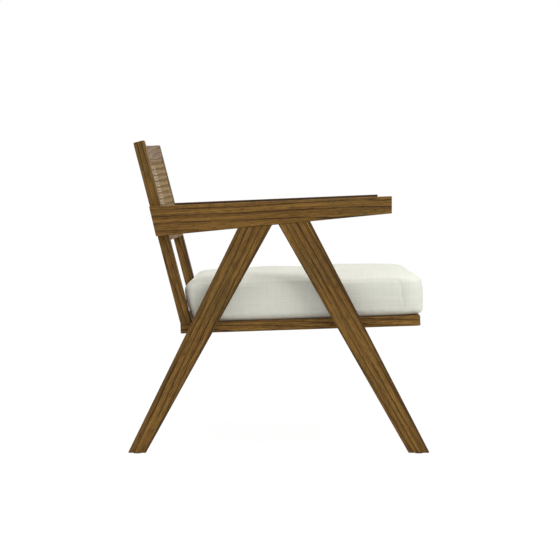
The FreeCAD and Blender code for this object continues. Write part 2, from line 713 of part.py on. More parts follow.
def seat_mortise(side, rail, clearance):
    """The lowest and highest corner of a cross rail's loose tenon or its mortise."""
    middle = f"({CROSS_RAILS[rail]} + cross_rail_thickness / 2)"
    centre = "(-seat_tenon_cover - seat_tenon_width / 2)"
    reach = f"(seat_tenon_depth + ({clearance}) * 4)"
    ends = sorted((f"{side} * seat_rail_inner - {reach}", f"{side} * seat_rail_inner + {reach}"), key=value)
    low = (f"{middle} - tenon_thickness / 2 - ({clearance})", ends[0],
           f"{centre} - seat_tenon_width / 2 - ({clearance})")
    high = (f"{middle} + tenon_thickness / 2 + ({clearance})", ends[1],
            f"{centre} + seat_tenon_width / 2 + ({clearance})")
    return low, high


def make_cross_rail(rail):
    """The front or rear rail of the seat, between the side rails."""
    body = new_body(f"seat_{rail}_rail", "seat")
    start = CROSS_RAILS[rail]
    end = f"{start} + cross_rail_thickness"
    corners = [(start, "-seat_rail_inner"), (end, "-seat_rail_inner"), (end, "seat_rail_inner"),
               (start, "seat_rail_inner")]
    sketch = outline_sketch(body, f"seat_{rail}_rail_plan", "XY_Plane", corners, "-seat_rail_height")
    soften(body, pad(body, sketch, "seat_rail_height"), "edge_round", skip=not_crosswise)
    for name, side in SIDES:
        block_cut(body, f"seat_{rail}_rail_{name}_mortise", *seat_mortise(side, rail, "fit_clearance"))
    return body


def slat_screw_points(number, side):
    """The screw in one end of a slat."""
    return [(f"{slat_start(number)} + slat_width / 2", f"{side} * (seat_rail_inner + slat_bearing / 2)")]


def make_slat(number):
    """A seat slat with a countersunk hole at each end."""
    body = new_body(f"seat_slat_{number + 1}", "seat")
    start = slat_start(number)
    corners = [(start, "-slat_half_length"), (f"{start} + slat_width", "-slat_half_length"),
               (f"{start} + slat_width", "slat_half_length"), (start, "slat_half_length")]
    sketch = outline_sketch(body, f"slat_{number}_plan", "XY_Plane", corners, "slat_bottom")
    soften(body, pad(body, sketch, "slat_thickness"), "slat_round", skip=not_crosswise)
    for name, side in SIDES:
        for x, y in slat_screw_points(number, side):
            bore(body, f"slat_{number}_{name}_hole", "screw_diameter + 2 * fit_clearance",
                 "slat_thickness + 2 * cut_overrun", (x, y, "slat_bottom - cut_overrun"))
            sink = body.newObject("PartDesign::SubtractiveCone", f"slat_{number}_{name}_countersink")
            sink.setExpression("Radius1", formula("screw_diameter / 2 + fit_clearance"))
            sink.setExpression("Radius2", formula("screw_head_diameter / 2 + fit_clearance"))
            sink.setExpression("Height", formula("screw_head_height"))
            sink.setExpression("Placement", placement_text(x, y, "slat_top - screw_head_height"))
    return body


def rod(label, diameter, length, start="0"):
    """A plain cylinder along Z."""
    cylinder = document.addObject("Part::Cylinder", label)
    cylinder.setExpression("Radius", formula(f"({diameter}) / 2"))
    cylinder.setExpression("Height", formula(length))
    cylinder.setExpression("Placement", placement_text("0", "0", start))
    return cylinder


def joined(label, pieces):
    """Several shapes fused into one."""
    fused = document.addObject("Part::MultiFuse", label)
    fused.Shapes = pieces
    return fused


def less(label, base, tool):
    """One shape with another cut out of it."""
    cut = document.addObject("Part::Cut", label)
    cut.Base = base
    cut.Tool = tool
    return cut


def brick(label, low, high):
    """A box between its lowest and its highest corner."""
    box = document.addObject("Part::Box", label)
    for side, start, end in zip(("Length", "Width", "Height"), low, high):
        box.setExpression(side, formula(f"({end}) - ({start})"))
    box.setExpression("Placement", placement_text(*low))
    return box


def bolt_pattern(label, length):
    """A bolt with its head below the origin, its shank along Z and a six-sided key hole."""
    shank = rod(f"{label}_shank", "bolt_diameter", length)
    head = rod(f"{label}_head", "bolt_head_diameter", "bolt_head_height", "-bolt_head_height")
    key = document.addObject("Part::Prism", f"{label}_key")
    key.Polygon = 6
    key.setExpression("Circumradius", formula("bolt_key_width / 2 / cos(30)"))
    key.setExpression("Height", formula("bolt_key_depth + cut_overrun"))
    key.setExpression("Placement", placement_text("0", "0", "-bolt_head_height - cut_overrun"))
    return less(label, joined(f"{label}_body", [shank, head]), key)


def insert_pattern(label):
    """A threaded insert, as a tube along Z."""
    bush = rod(f"{label}_outside", "insert_diameter", "insert_length")
    thread = rod(f"{label}_bore", "bolt_diameter + 2 * fit_clearance", "insert_length + 2 * cut_overrun",
                 "-cut_overrun")
    return less(label, bush, thread)


def screw_pattern(label):
    """A countersunk screw, its head's top at the origin and its point below."""
    head = document.addObject("Part::Cone", f"{label}_head")
    head.setExpression("Radius1", formula("screw_diameter / 2"))
    head.setExpression("Radius2", formula("screw_head_diameter / 2"))
    head.setExpression("Height", formula("screw_head_height"))
    head.setExpression("Placement", placement_text("0", "0", "-screw_head_height"))
    shank_length = "(screw_length - screw_head_height - screw_point_length)"
    shank = rod(f"{label}_shank", "screw_diameter", shank_length,
                f"-screw_head_height - {shank_length}")
    point = document.addObject("Part::Cone", f"{label}_point")
    point.setExpression("Radius1", formula("screw_diameter / 8"))
    point.setExpression("Radius2", formula("screw_diameter / 2"))
    point.setExpression("Height", formula("screw_point_length"))
    point.setExpression("Placement", placement_text("0", "0", "-screw_length"))
    return joined(label, [head, shank, point])


def copies(label, pattern, frame, places):
    """A group of separate solids: one pattern set down at each place of a frame."""
    document.recompute()
    solids = []
    for x, y, z, *turn in places:
        axis, angle = turn if turn else ((0, 1, 0), "0")
        spot = FreeCAD.Placement(FreeCAD.Vector(value(x), value(y), value(z)),
                                 FreeCAD.Rotation(FreeCAD.Vector(*axis), value(angle)))
        solid = pattern.Shape.copy()
        solid.Placement = frame_place(frame) * spot * solid.Placement
        solids.append(solid)
    group = document.addObject("Part::Feature", label)
    group.Shape = Part.makeCompound(solids)
    return keep(group, label)


def make_fasteners():
    """Bolts, inserts, screws, dowels and loose tenons, each kind as one group."""
    leg_bolts, leg_inserts, arm_bolts, arm_inserts, screws = [], [], [], [], []
    for name, side in SIDES:
        for leg in LEGS:
            for run in leg_bolt_runs(leg):
                leg_bolts.append((run, f"{side} * (seat_rail_inner + head_recess)", "-leg_bolt_drop",
                                  *outward(side)))
                leg_inserts.append((run, f"{side} * arm_inner", "-leg_bolt_drop", *outward(side)))
        for rise in arm_bolt_rises():
            arm_bolts.append(("arm_bolt_x", f"{side} * (stile_inner + head_recess)", rise, *outward(side)))
            arm_inserts.append(("arm_bolt_x", f"{side} * arm_inner", rise, *outward(side)))
        for number in range(int(value("slat_count"))):
            screws += [(x, y, "slat_top") for x, y in slat_screw_points(number, side)]
    insert = insert_pattern("insert_pattern")
    copies("leg_bolts", bolt_pattern("leg_bolt_pattern", "leg_bolt_length"), "seat", leg_bolts)
    copies("leg_inserts", insert, "seat", leg_inserts)
    copies("arm_bolts", bolt_pattern("arm_bolt_pattern", "arm_bolt_length"), "back", arm_bolts)
    copies("arm_inserts", insert, "back", arm_inserts)
    copies("slat_screws", screw_pattern("screw_pattern"), "seat", screws)
    leg_dowel = rod("leg_dowel_pattern", "leg_dowel_diameter", "2 * leg_dowel_depth", "-leg_dowel_depth")
    stile_dowel = rod("stile_dowel_pattern", "stile_dowel_diameter", "2 * stile_dowel_depth",
                      "-stile_dowel_depth")
    for name, side in SIDES:
        places = [place for leg in LEGS for place in leg_dowel_places(leg, side)]
        copies(f"{name}_arm_dowels", leg_dowel, "floor", places)
    foot_places = [(x, y, "0") for name, side in SIDES for x, y in stile_dowel_points(side)]
    copies("stile_foot_dowels", stile_dowel, "seat", foot_places)
    for label, frame, corners in (
            ("back_rail_tenons", "back", [back_mortise(side, rail, "0") for name, side in SIDES
                                          for rail in BACK_RAILS]),
            ("seat_rail_tenons", "seat", [seat_mortise(side, rail, "0") for name, side in SIDES
                                          for rail in CROSS_RAILS])):
        tenons = document.addObject("Part::Compound", label)
        tenons.Links = [brick(f"{label}_{n}", low, high) for n, (low, high) in enumerate(corners)]
        set_frame(tenons, frame)
        keep(tenons, label)


def make_glide(name, side, leg):
    """A round glide under a foot, on a pin driven into the leg."""
    label = f"{name}_{leg}_glide"
    disc = rod(f"{label}_disc", "glide_diameter", "glide_height")
    pin = rod(f"{label}_pin", "glide_pin_diameter", "glide_height + glide_pin_length")
    glide = joined(label, [disc, pin])
    set_frame(glide, "floor", (f"{leg}_foot_middle", f"{side} * arm_middle", "0"))
    return keep(glide, label)


def bowed_shell(front_radius, rear_radius, reach, foot, height):
    """A bowed strip as a plain shape: a ring about the bow's centre, kept between its sides."""
    centre = FreeCAD.Vector(value("bow_centre"), 0, value(foot))
    ring = Part.makeCylinder(value(rear_radius), value(height), centre)
    ring = ring.cut(Part.makeCylinder(value(front_radius), value(height), centre))
    span = value("back_bow + back_rail_thickness + 4 * stile_depth")
    corner = FreeCAD.Vector(value("stile_depth") - span / 2, -value(reach), value(foot))
    return ring.common(Part.makeBox(span, 2 * value(reach), value(height), corner))


def hexagon(centre_y, centre_z, width, x):
    """A six-sided gap of the cane, given by its width across its upright sides."""
    radius = width / 2 / math.cos(math.pi / 6)
    corners = [FreeCAD.Vector(x, centre_y + radius * math.sin(turn * math.pi / 3),
                              centre_z + radius * math.cos(turn * math.pi / 3)) for turn in range(6)]
    return Part.makePolygon(corners + corners[:1])


def make_cane():
    """The cane webbing: one thin bowed sheet with rows of six-sided gaps."""
    pitch = value("cane_pitch")
    columns = math.floor(value("2 * stile_inner") / pitch)
    rows = math.floor(value("cane_opening_height") / pitch)
    depth = value("stile_depth + 2 * back_bow")
    behind = -depth / 2
    middle_height = value("opening_foot + cane_opening_height / 2")
    half_width = value("cane_half_width - fit_clearance")
    half_height = value("cane_height / 2 - fit_clearance")
    rim = [FreeCAD.Vector(behind, y * half_width, middle_height + z * half_height)
           for y, z in ((-1, -1), (1, -1), (1, 1), (-1, 1))]
    wires = [Part.makePolygon(rim + rim[:1])]
    for column in range(columns):
        for line in range(rows):
            across = (column - (columns - 1) / 2) * pitch
            up = middle_height + (line - (rows - 1) / 2) * pitch
            wires.append(hexagon(across, up, value("cane_hole_width"), behind))
    face = Part.Face(wires)
    face.validate()
    block = face.extrude(FreeCAD.Vector(2 * depth, 0, 0))
    shell = bowed_shell("rebate_radius - cane_thickness", "rebate_radius", "cane_edge",
                        "opening_foot - cane_rebate_width", "cane_opening_height + 2 * cane_rebate_width")
    cane = document.addObject("Part::Feature", "cane_webbing")
    cane.Shape = block.common(shell).Solids[0]
    cane.Placement = frame_place("back")
    return keep(cane, "cane_webbing")


def make_splines():
    """The four splines that hold the cane's edges in the grooves."""
    for label, foot in (("cane_spline_bottom", LOWER_GROOVE_FOOT), ("cane_spline_top", UPPER_GROOVE_FOOT)):
        spline = document.addObject("Part::Feature", label)
        spline.Shape = bowed_shell("rebate_radius - cane_thickness", "groove_radius - fit_clearance",
                                   "cane_half_width - fit_clearance", f"{foot} + fit_clearance",
                                   "spline_width").Solids[0]
        spline.Placement = frame_place("back")
        keep(spline, label)
    for name, side in SIDES:
        ends = sorted((f"{side} * (cane_half_width + fit_clearance)",
                       f"{side} * (cane_edge - fit_clearance)"), key=value)
        low = ("groove_floor + fit_clearance", ends[0], f"{LOWER_GROOVE_FOOT} + fit_clearance")
        high = (bow_chord("rebate_radius - cane_thickness", "cane_edge"), ends[1],
                "top_rail_foot + cane_rebate_width - fit_clearance")
        spline = brick(f"cane_spline_{name}", low, high)
        set_frame(spline, "back", low)
        keep(spline, f"cane_spline_{name}")


def cushion_outline(height, inset):
    """The cushion's outline at a height: its corners are round and its front and sides drawn in."""
    rear = value("cushion_rear_x") - height * math.tan(math.radians(value("back_rake - seat_slope"))) + inset
    front = value("cushion_front_x") - inset
    half = value("cushion_width") / 2 - inset
    draw = value("cushion_draw_in")
    rear_corner = value("cushion_rear_corner") + inset * CORNER_GROWTH_SHARE
    front_corner = value("cushion_front_corner") + inset * CORNER_GROWTH_SHARE
    slant = math.sqrt(0.5)
    level = FreeCAD.Vector(0, 0, height)

    def point(x, y):
        return FreeCAD.Vector(x, y, 0) + level

    def corner(x, y, radius, toward_x, toward_y):
        """A quarter circle's start on the side, middle, and end on the front or rear."""
        centre_x, centre_y = x - toward_x * radius, y - toward_y * radius
        return (point(centre_x, y), point(centre_x + toward_x * radius * slant,
                                          centre_y + toward_y * radius * slant), point(x, centre_y))

    left_rear = corner(rear, half, rear_corner, -1, 1)
    left_front = corner(front, half, front_corner, 1, 1)
    right_front = corner(front, -half, front_corner, 1, -1)
    right_rear = corner(rear, -half, rear_corner, -1, -1)
    middle_x = (rear + front) / 2
    edges = [
        Part.LineSegment(right_rear[2], left_rear[2]),
        Part.Arc(left_rear[2], left_rear[1], left_rear[0]),
        Part.Arc(left_rear[0], point(middle_x, half - draw), left_front[0]),
        Part.Arc(left_front[0], left_front[1], left_front[2]),
        Part.Arc(left_front[2], point(front - draw, 0), right_front[2]),
        Part.Arc(right_front[2], right_front[1], right_front[0]),
        Part.Arc(right_front[0], point(middle_x, draw - half), right_rear[0]),
        Part.Arc(right_rear[0], right_rear[1], right_rear[2]),
    ]
    return Part.Wire([edge.toShape() for edge in edges])


def cushion_form(skin):
    """The crowned box of the cushion, made smaller all round by a skin's thickness."""
    thickness = value("cushion_thickness")
    bottom = value("soft_clearance") + skin
    rise = thickness - 2 * skin
    sections = [cushion_outline(bottom + level * rise, inset * value("cushion_edge_roll") + skin)
                for level, inset in CUSHION_PROFILE_SHARES]
    return Part.makeLoft(sections, True, False, False, LOFT_DEGREE)


def zip_box(low, high):
    """A box in the frame of the back, as a plain shape in the frame of the seat."""
    corner = [value(text) for text in low]
    size = [value(f"({end}) - ({start})") for start, end in zip(low, high)]
    box = Part.makeBox(*size, FreeCAD.Vector(*corner))
    box.Placement = frame_place("seat").inverse() * frame_place("back") * box.Placement
    return box


def make_cushion():
    """The cushion's cover, slit for the zip, and the foam inside it."""
    cover_shape = cushion_form(0).cut(cushion_form(value("cover_thickness")))
    slot = zip_box(("zip_plane - cut_overrun", "-zip_length / 2 - soft_clearance",
                    "zip_rise - zip_tape_width / 2 - soft_clearance"),
                   ("zip_plane + cover_thickness + fit_clearance", "zip_length / 2 + soft_clearance",
                    "zip_rise + zip_tape_width / 2 + soft_clearance"))
    cover = document.addObject("Part::Feature", "cushion_cover")
    cover.Shape = cover_shape.cut(slot).Solids[0]
    cover.Placement = frame_place("seat")
    keep(cover, "cushion_cover")
    core = document.addObject("Part::Feature", "foam_core")
    core.Shape = cushion_form(value("cover_thickness + soft_clearance"))
    core.Placement = frame_place("seat")
    keep(core, "foam_core")


def make_zip():
    """The zip's tape and teeth, and the slider that runs on the teeth."""
    tape_face = "(zip_plane + cover_thickness - zip_tape_thickness)"
    teeth_face = "(zip_plane - zip_teeth_height)"
    tape = brick("zip_tape", (tape_face, "-zip_length / 2", "zip_rise - zip_tape_width / 2"),
                 ("zip_plane + cover_thickness", "zip_length / 2", "zip_rise + zip_tape_width / 2"))
    teeth = brick("zip_teeth", (teeth_face, "-zip_length / 2", "zip_rise - zip_teeth_width / 2"),
                  ("zip_plane + cover_thickness", "zip_length / 2", "zip_rise + zip_teeth_width / 2"))
    closure = joined("cushion_zip", [tape, teeth])
    set_frame(closure, "back")
    keep(closure, "cushion_zip")
    inner = f"({tape_face} - soft_clearance)"
    plate = brick("slider_plate",
                  (f"{inner} - slider_thickness", "slider_start", "zip_rise - slider_width / 2"),
                  (inner, "slider_start + slider_length", "zip_rise + slider_width / 2"))
    channel = brick("slider_channel",
                    (f"{teeth_face} - soft_clearance", "slider_start - cut_overrun",
                     "zip_rise - zip_teeth_width / 2 - soft_clearance"),
                    (f"{inner} + cut_overrun", "slider_start + slider_length + cut_overrun",
                     "zip_rise + zip_teeth_width / 2 + soft_clearance"))
    slider = less("zip_slider", plate, channel)
    set_frame(slider, "back")
    keep(slider, "zip_slider")


def check_document():
    """Stop if an object failed, a cut removed nothing, or a sub-part isn't a sound solid."""
    for item in document.Objects:
        if "Invalid" in item.State or "Error" in item.State:
            raise RuntimeError(f"{item.Label} failed: {item.State}")
        cuts = item.TypeId.startswith("PartDesign::Subtractive") or item.TypeId == "PartDesign::Pocket"
        if cuts and not item.Shape.Volume < item.BaseFeature.Shape.Volume:
            raise RuntimeError(f"{item.Label} cuts nothing")
    for piece in SUB_PARTS:
        if piece.Shape.isNull() or not piece.Shape.isValid() or not piece.Shape.Solids:
            raise RuntimeError(f"{piece.Label} isn't a sound solid")


for side_name, side_sign in SIDES:
    make_arm(side_name, side_sign)
    for leg_name in LEGS:
        make_leg(side_name, side_sign, leg_name)
        make_glide(side_name, side_sign, leg_name)
    make_stile(side_name, side_sign)
    make_side_rail(side_name, side_sign)
make_back_rail("top", UPPER_GROOVE_FOOT)
make_back_rail("lower", LOWER_GROOVE_FOOT)
for rail_name in CROSS_RAILS:
    make_cross_rail(rail_name)
for slat_number in range(int(value("slat_count"))):
    make_slat(slat_number)
make_cane()
make_splines()
make_fasteners()
make_cushion()
make_zip()
document.recompute()
check_document()

os.makedirs("parts", exist_ok=True)
for sub_part in SUB_PARTS:
    sub_part.Shape.exportStep(f"parts/{sub_part.Label}.step")
    print(sub_part.Label, len(sub_part.Shape.Solids), round(sub_part.Shape.Volume))
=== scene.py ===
import math
from functools import partialmethod

import bpy
import numpy as np
from mathutils import Matrix, Vector


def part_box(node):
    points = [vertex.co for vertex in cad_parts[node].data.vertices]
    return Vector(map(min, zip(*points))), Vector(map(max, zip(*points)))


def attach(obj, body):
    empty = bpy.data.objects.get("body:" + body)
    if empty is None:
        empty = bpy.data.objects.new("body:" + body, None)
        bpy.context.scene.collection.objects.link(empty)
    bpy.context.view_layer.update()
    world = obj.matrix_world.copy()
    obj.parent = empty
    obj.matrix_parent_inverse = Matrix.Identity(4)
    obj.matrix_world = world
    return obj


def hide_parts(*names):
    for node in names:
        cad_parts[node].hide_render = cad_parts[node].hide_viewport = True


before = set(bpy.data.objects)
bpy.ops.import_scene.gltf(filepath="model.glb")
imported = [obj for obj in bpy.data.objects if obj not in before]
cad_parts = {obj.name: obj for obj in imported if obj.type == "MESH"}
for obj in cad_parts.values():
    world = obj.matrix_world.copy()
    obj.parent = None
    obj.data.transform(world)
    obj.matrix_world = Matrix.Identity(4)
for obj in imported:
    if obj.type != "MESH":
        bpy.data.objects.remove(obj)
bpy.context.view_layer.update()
scene = bpy.context.scene

# An easy chair with a cane back and a loose box cushion. Metres. +X is forward, +Y the sitter's
# left, +Z up. The seat and the back are worked out in frames of their own, which lean from one
# corner: the rear end of the side rails' top.

SEAT_SLOPE = math.radians(1.9)
BACK_RAKE = math.radians(14.4)
SIDE_RAIL_HEIGHT = 0.025

SIDES = (("right", -1), ("left", 1))


def read(items, name, width=3, kind=float):
    """What a mesh's points, faces or corners keep under a name: an array with a row for each, or with
    a number for each where the width is 1."""
    values = np.empty(len(items) * width, kind)
    items.foreach_get(name, values)
    return values.reshape(-1, width).squeeze()


def node_points(name):
    """The points of a node."""
    return read(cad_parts[name].data.vertices, "co")


def vectors(*parts):
    """Arrays of the parts of points, spread over one another, as one array of points."""
    return np.stack(np.broadcast_arrays(*parts), axis=-1)


def upright_axes(angle):
    """The axes of a board that lies in an upright plane of the chair's length, at an angle to +X.

    They are the columns of a matrix: the board's length, thickness and width."""
    cosine, sine = math.cos(angle), math.sin(angle)
    return np.array([[cosine, 0, -sine], [0, 1, 0], [sine, 0, cosine]])


def crosswise_axes(angle):
    """The axes of a board that runs across the chair: its thickness leans by an angle to +X."""
    return upright_axes(angle)[:, [1, 0, 2]] * (-1, 1, 1)


class Slant:
    """A frame that leans from a corner by an angle: its own X and Z are turned about the Y axis."""

    def __init__(self, corner, angle):
        self.corner = np.array(corner)
        self.axes = upright_axes(angle).T

    def out(self, points):
        """Points of this frame, as points of the chair."""
        return np.asarray(points) @ self.axes + self.corner

    def own(self, points):
        """Points of the chair, as points of this frame."""
        return (np.asarray(points) - self.corner) @ self.axes.T

    def extent(self, name):
        """The lowest and highest corner of a node, measured in this frame."""
        points = self.own(node_points(name))
        return points.min(0), points.max(0)


rail_low, rail_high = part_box("seat_side_rail_right")
rail_length = ((rail_high.x - rail_low.x - SIDE_RAIL_HEIGHT * math.sin(SEAT_SLOPE))
               / math.cos(SEAT_SLOPE))
seat_corner = (rail_low.x, 0, rail_high.z - rail_length * math.sin(SEAT_SLOPE))
SEAT = Slant(seat_corner, SEAT_SLOPE)
BACK = Slant(seat_corner, BACK_RAKE)


# Meshes

def new_piece(name, points, quads):
    """An object with a smooth mesh of the given points and quads, whose faces are turned outwards.

    The volume that the quads close is a sum over their two triangles of a . (b x c) / 6: where it is
    below nothing they are turned round."""
    a, b, c, d = (points[quads[:, corner]] for corner in range(4))
    volume = np.einsum("ij,ij->", a, np.cross(b, c)) + np.einsum("ij,ij->", a, np.cross(c, d))
    if volume < 0:
        quads = quads[:, ::-1]
    mesh = bpy.data.meshes.new(name)
    mesh.from_pydata(points.tolist(), [], quads.tolist())
    mesh.shade_smooth()
    piece = bpy.data.objects.new(name, mesh)
    scene.collection.objects.link(piece)
    return piece


def tubes(name, points):
    """A piece of closed tubes, from points by tube, by place along it and by place round it.

    A tube's point (r, c) is its number r * columns + c. Quads join each ring to the next, and close
    the first and the last ring between their two halves."""
    count, rows, columns = points.shape[:3]
    r, c = np.meshgrid(np.arange(rows - 1) * columns, np.arange(columns), indexing="ij")
    c_next = (c + 1) % columns
    sides = vectors(r + c, r + c_next, r + columns + c_next, r + columns + c)
    pairs = np.arange(columns // 2 - 1)
    cap = vectors(pairs, pairs + 1, columns - 2 - pairs, columns - 1 - pairs)
    one = np.concatenate([sides.reshape(-1, 4), cap[:, ::-1], cap + (rows - 1) * columns])
    quads = one[None] + (np.arange(count) * rows * columns)[:, None, None]
    return new_piece(name, points.reshape(-1, 3), quads.reshape(-1, 4))


def finish_piece(piece, finish, body, slot, *replaced):
    """Give a piece its material and body, and hide the nodes that it stands for. Its slot is not used."""
    piece.data.materials.clear()
    piece.data.materials.append(finish)
    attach(piece, body)
    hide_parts(*replaced)


# Shaders

class Signal:
    """A shader's socket that gives a number: sums, products and powers of it add Math nodes."""

    def __init__(self, shader, socket):
        self.shader = shader
        self.socket = socket

    def apply(self, operation, *others):
        """Add a Math node that works on this signal and on others."""
        return self.shader.node("Math", {"operation": operation}, dict(enumerate((self,) + others)))

    def __rsub__(self, other):
        return self.shader.node("Math", {"operation": "SUBTRACT"}, {0: other, 1: self})

    __add__ = __radd__ = partialmethod(apply, "ADD")
    __sub__ = partialmethod(apply, "SUBTRACT")
    __mul__ = __rmul__ = partialmethod(apply, "MULTIPLY")
    __truediv__ = partialmethod(apply, "DIVIDE")
    __pow__ = partialmethod(apply, "POWER")


class Shader:
    """The nodes of a material or of the world."""

    def __init__(self, tree):
        self.tree = tree
        tree.nodes.clear()

    def node(self, kind, settings=None, inputs=None, output=0):
        """Add a node of a kind, with its settings and its sockets' values or links, and give an output."""
        added = self.tree.nodes.new("ShaderNode" + kind)
        for name, value in (settings or {}).items():
            setattr(added, name, value)
        for name, value in (inputs or {}).items():
            if isinstance(value, Signal):
                self.tree.links.new(value.socket, added.inputs[name])
            else:
                added.inputs[name].default_value = value
        return Signal(self, added.outputs[output]) if len(added.outputs) else None

    def here(self):
        """A point of the piece."""
        return self.node("TexCoord", output="Object")

    def on_board(self, board):
        """A point of the piece, in a board's own frame."""
        return self.node("Mapping", {"vector_type": "TEXTURE"},
                         {"Vector": self.here(), "Location": board.centre, "Rotation": board.turn})

    def kept(self, name):
        """A number that the piece keeps for each of its points."""
        return self.node("Attribute", {"attribute_name": name}, output="Fac")

    def parts(self, vector):
        """The three numbers of a vector."""
        outputs = self.node("SeparateXYZ", None, {0: vector}).socket.node.outputs
        return [Signal(self, output) for output in outputs]

    def join(self, x, y, z):
        """The vector of three numbers."""
        return self.node("CombineXYZ", None, {0: x, 1: y, 2: z})

    def noise(self, vector, scale, seed=0.0, detail=2.0, roughness=0.5):
        """Noise from 0 to 1 that is stretched: scale gives its features per metre along each axis."""
        moved = self.node("Mapping", None, {"Vector": vector, "Scale": scale,
                                            "Location": (seed * 7.3, seed * 3.1, seed * 5.7)})
        return self.node("TexNoise", None, {"Vector": moved, "Scale": 1.0, "Detail": detail,
                                            "Roughness": roughness})

    def ramp(self, value, low, high, to_low=0.0, to_high=1.0):
        """A smooth step of a number from one value to another."""
        return self.node("MapRange", {"interpolation_type": "SMOOTHSTEP"},
                         {0: value, 1: low, 2: high, 3: to_low, 4: to_high})

    def mix(self, share, first, second):
        """A mix of two colours, each a node's or one as it is seen, with its parts from 0 to 255."""
        first, second = (each if isinstance(each, Signal) else paint(*each) for each in (first, second))
        return self.node("Mix", {"data_type": "RGBA", "clamp_factor": True},
                         {0: share, 6: first, 7: second}, output=2)

    def layered(self, colour, *layers):
        """A colour with others mixed over it in turn, each by its own share."""
        for share, over in layers:
            colour = self.mix(share, colour, over)
        return colour

    def bump(self, height, distance, strength=1.0, under=None):
        """A bump of a height from 0 to 1 over a distance in metres."""
        inputs = {"Height": height, "Distance": distance, "Strength": strength}
        if under is not None:
            inputs["Normal"] = under
        return self.node("Bump", None, inputs)

    def surface(self, colour, roughness, normal, **others):
        """The finished surface, whose other sockets are given with _ for a space."""
        named = {name.replace("_", " "): value for name, value in others.items()}
        named.update({"Base Color": colour, "Roughness": roughness, "Normal": normal})
        self.finish(self.node("BsdfPrincipled", None, named))

    def finish(self, shader):
        """Put a shader on the material's output."""
        self.node("OutputMaterial", None, {"Surface": shader})


def material(name):
    """A new material, and the shader that holds its nodes."""
    made = bpy.data.materials.new(name)
    made.use_nodes = True
    return made, Shader(made.node_tree)


def paint(red, green, blue):
    """A colour as it is seen, each part from 0 to 255, as the linear colour that a shader takes."""
    seen = np.array([red, green, blue]) / 255
    linear = np.where(seen <= 0.04045, seen / 12.92, ((seen + 0.055) / 1.055) ** 2.4)
    return (*linear.tolist(), 1.0)


# Boards and timber

END_SHARE = 0.3
LEG_TOP = 0.009


class Board:
    """A board's own frame: its length along its first axis, then its thickness, then its width.

    The axes are the columns of a matrix. half_width changes by widening for each metre along the
    board, from its middle."""

    def __init__(self, centre, axes, half_thickness, half_width, widening=0.0):
        self.centre = tuple(centre)
        self.turn = Matrix(np.asarray(axes).tolist()).to_euler()
        self.half_thickness, self.half_width, self.widening = half_thickness, half_width, widening


def board_of(name, axes):
    """The frame of a straight or tapering board, measured from its node's points.

    Its half width at each end is half the reach across it of the points of that end, which are
    those within a share of its length."""
    points = node_points(name)
    middle = (points.min(0) + points.max(0)) / 2
    own = (points - middle) @ axes
    low, high = own.min(0), own.max(0)
    length = high[0] - low[0]
    first = own[own[:, 0] < low[0] + length * END_SHARE]
    last = own[own[:, 0] > high[0] - length * END_SHARE]
    widths = [(end[:, 2].max() - end[:, 2].min()) / 2 for end in (first, last)]
    widening = (widths[1] - widths[0]) / length
    centre = middle + axes @ ((low + high) / 2)
    return Board(centre, axes, (high[1] - low[1]) / 2, sum(widths) / 2, widening)


def unworn(name, axes):
    """A board's frame for pieces whose arrises take neither painted shade nor wear: its faces are set a
    metre away.
    """
    low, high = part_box(name)
    return Board((low + high) / 2, axes, 1.0, 1.0)


def leg_axes(name, foot):
    """A leg's axes, from the middle of its foot's glide to the middle of its top."""
    points = node_points(name)
    top = points[points[:, 2] > points[:, 2].max() - LEG_TOP]
    low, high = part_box(foot)
    run = (top[:, 0].min() + top[:, 0].max()) / 2 - (low.x + high.x) / 2
    return upright_axes(math.atan2(points[:, 2].max() - points[:, 2].min(), run))


# A stained hardwood: its ground between two tones, the late wood's bands and the darkest lines
STAINED = {"light": (155, 116, 55), "ground": (123, 88, 38), "band": (84, 57, 21),
           "line": (45, 28, 9), "pore": (52, 34, 12), "cast": (92, 77, 38)}
# A pale, lacquered hardwood for the slats
PALE = {"light": (205, 172, 122), "ground": (188, 152, 102), "band": (164, 124, 78),
        "line": (130, 92, 52), "pore": (138, 102, 62), "cast": (186, 160, 118)}
# The noises of timber: features per metre along a board, and through and across it, then detail
# and roughness where they aren't the usual. Each takes its seed from its place in the list
TIMBER_NOISES = {
    "sway": (1.7, 11),
    "ripple": (13, 60),
    "patch": (5, 26),
    "streak": (3.2, 150, 4.0, 0.65),
    "pores": (34, 1250, 2.0, 0.6),
    "mottle": (7, 13, 3.0),
    "wander": (45, 45),
    "cloud": (12, 40),
    "fleck": (40, 460, 3.0, 0.6),
    "hair": (5.5, 330, 2.0, 0.55),
    "grit": (42, 340, 3.0, 0.7),
}
# How far the rings drift for each metre along a board, and how far noise bends them
RING_DRIFT, RING_SWAY, RING_RIPPLE = 0.028, 0.030, 0.0046
# Where the edge band (heartwood on the legs, painted shade on the far arm and far stile) and the arrises'
# painted shade and wear begin and end, and how far noise bends those
HEART_AND_SHADE_EDGE, HEART_AND_SHADE_SWAY = (0.002, 0.010), 0.008
ARRIS_SHADE_AND_WEAR, ARRIS_WANDER = (0.0008, 0.0046), 0.004
GRAIN_DEPTH = 0.00035


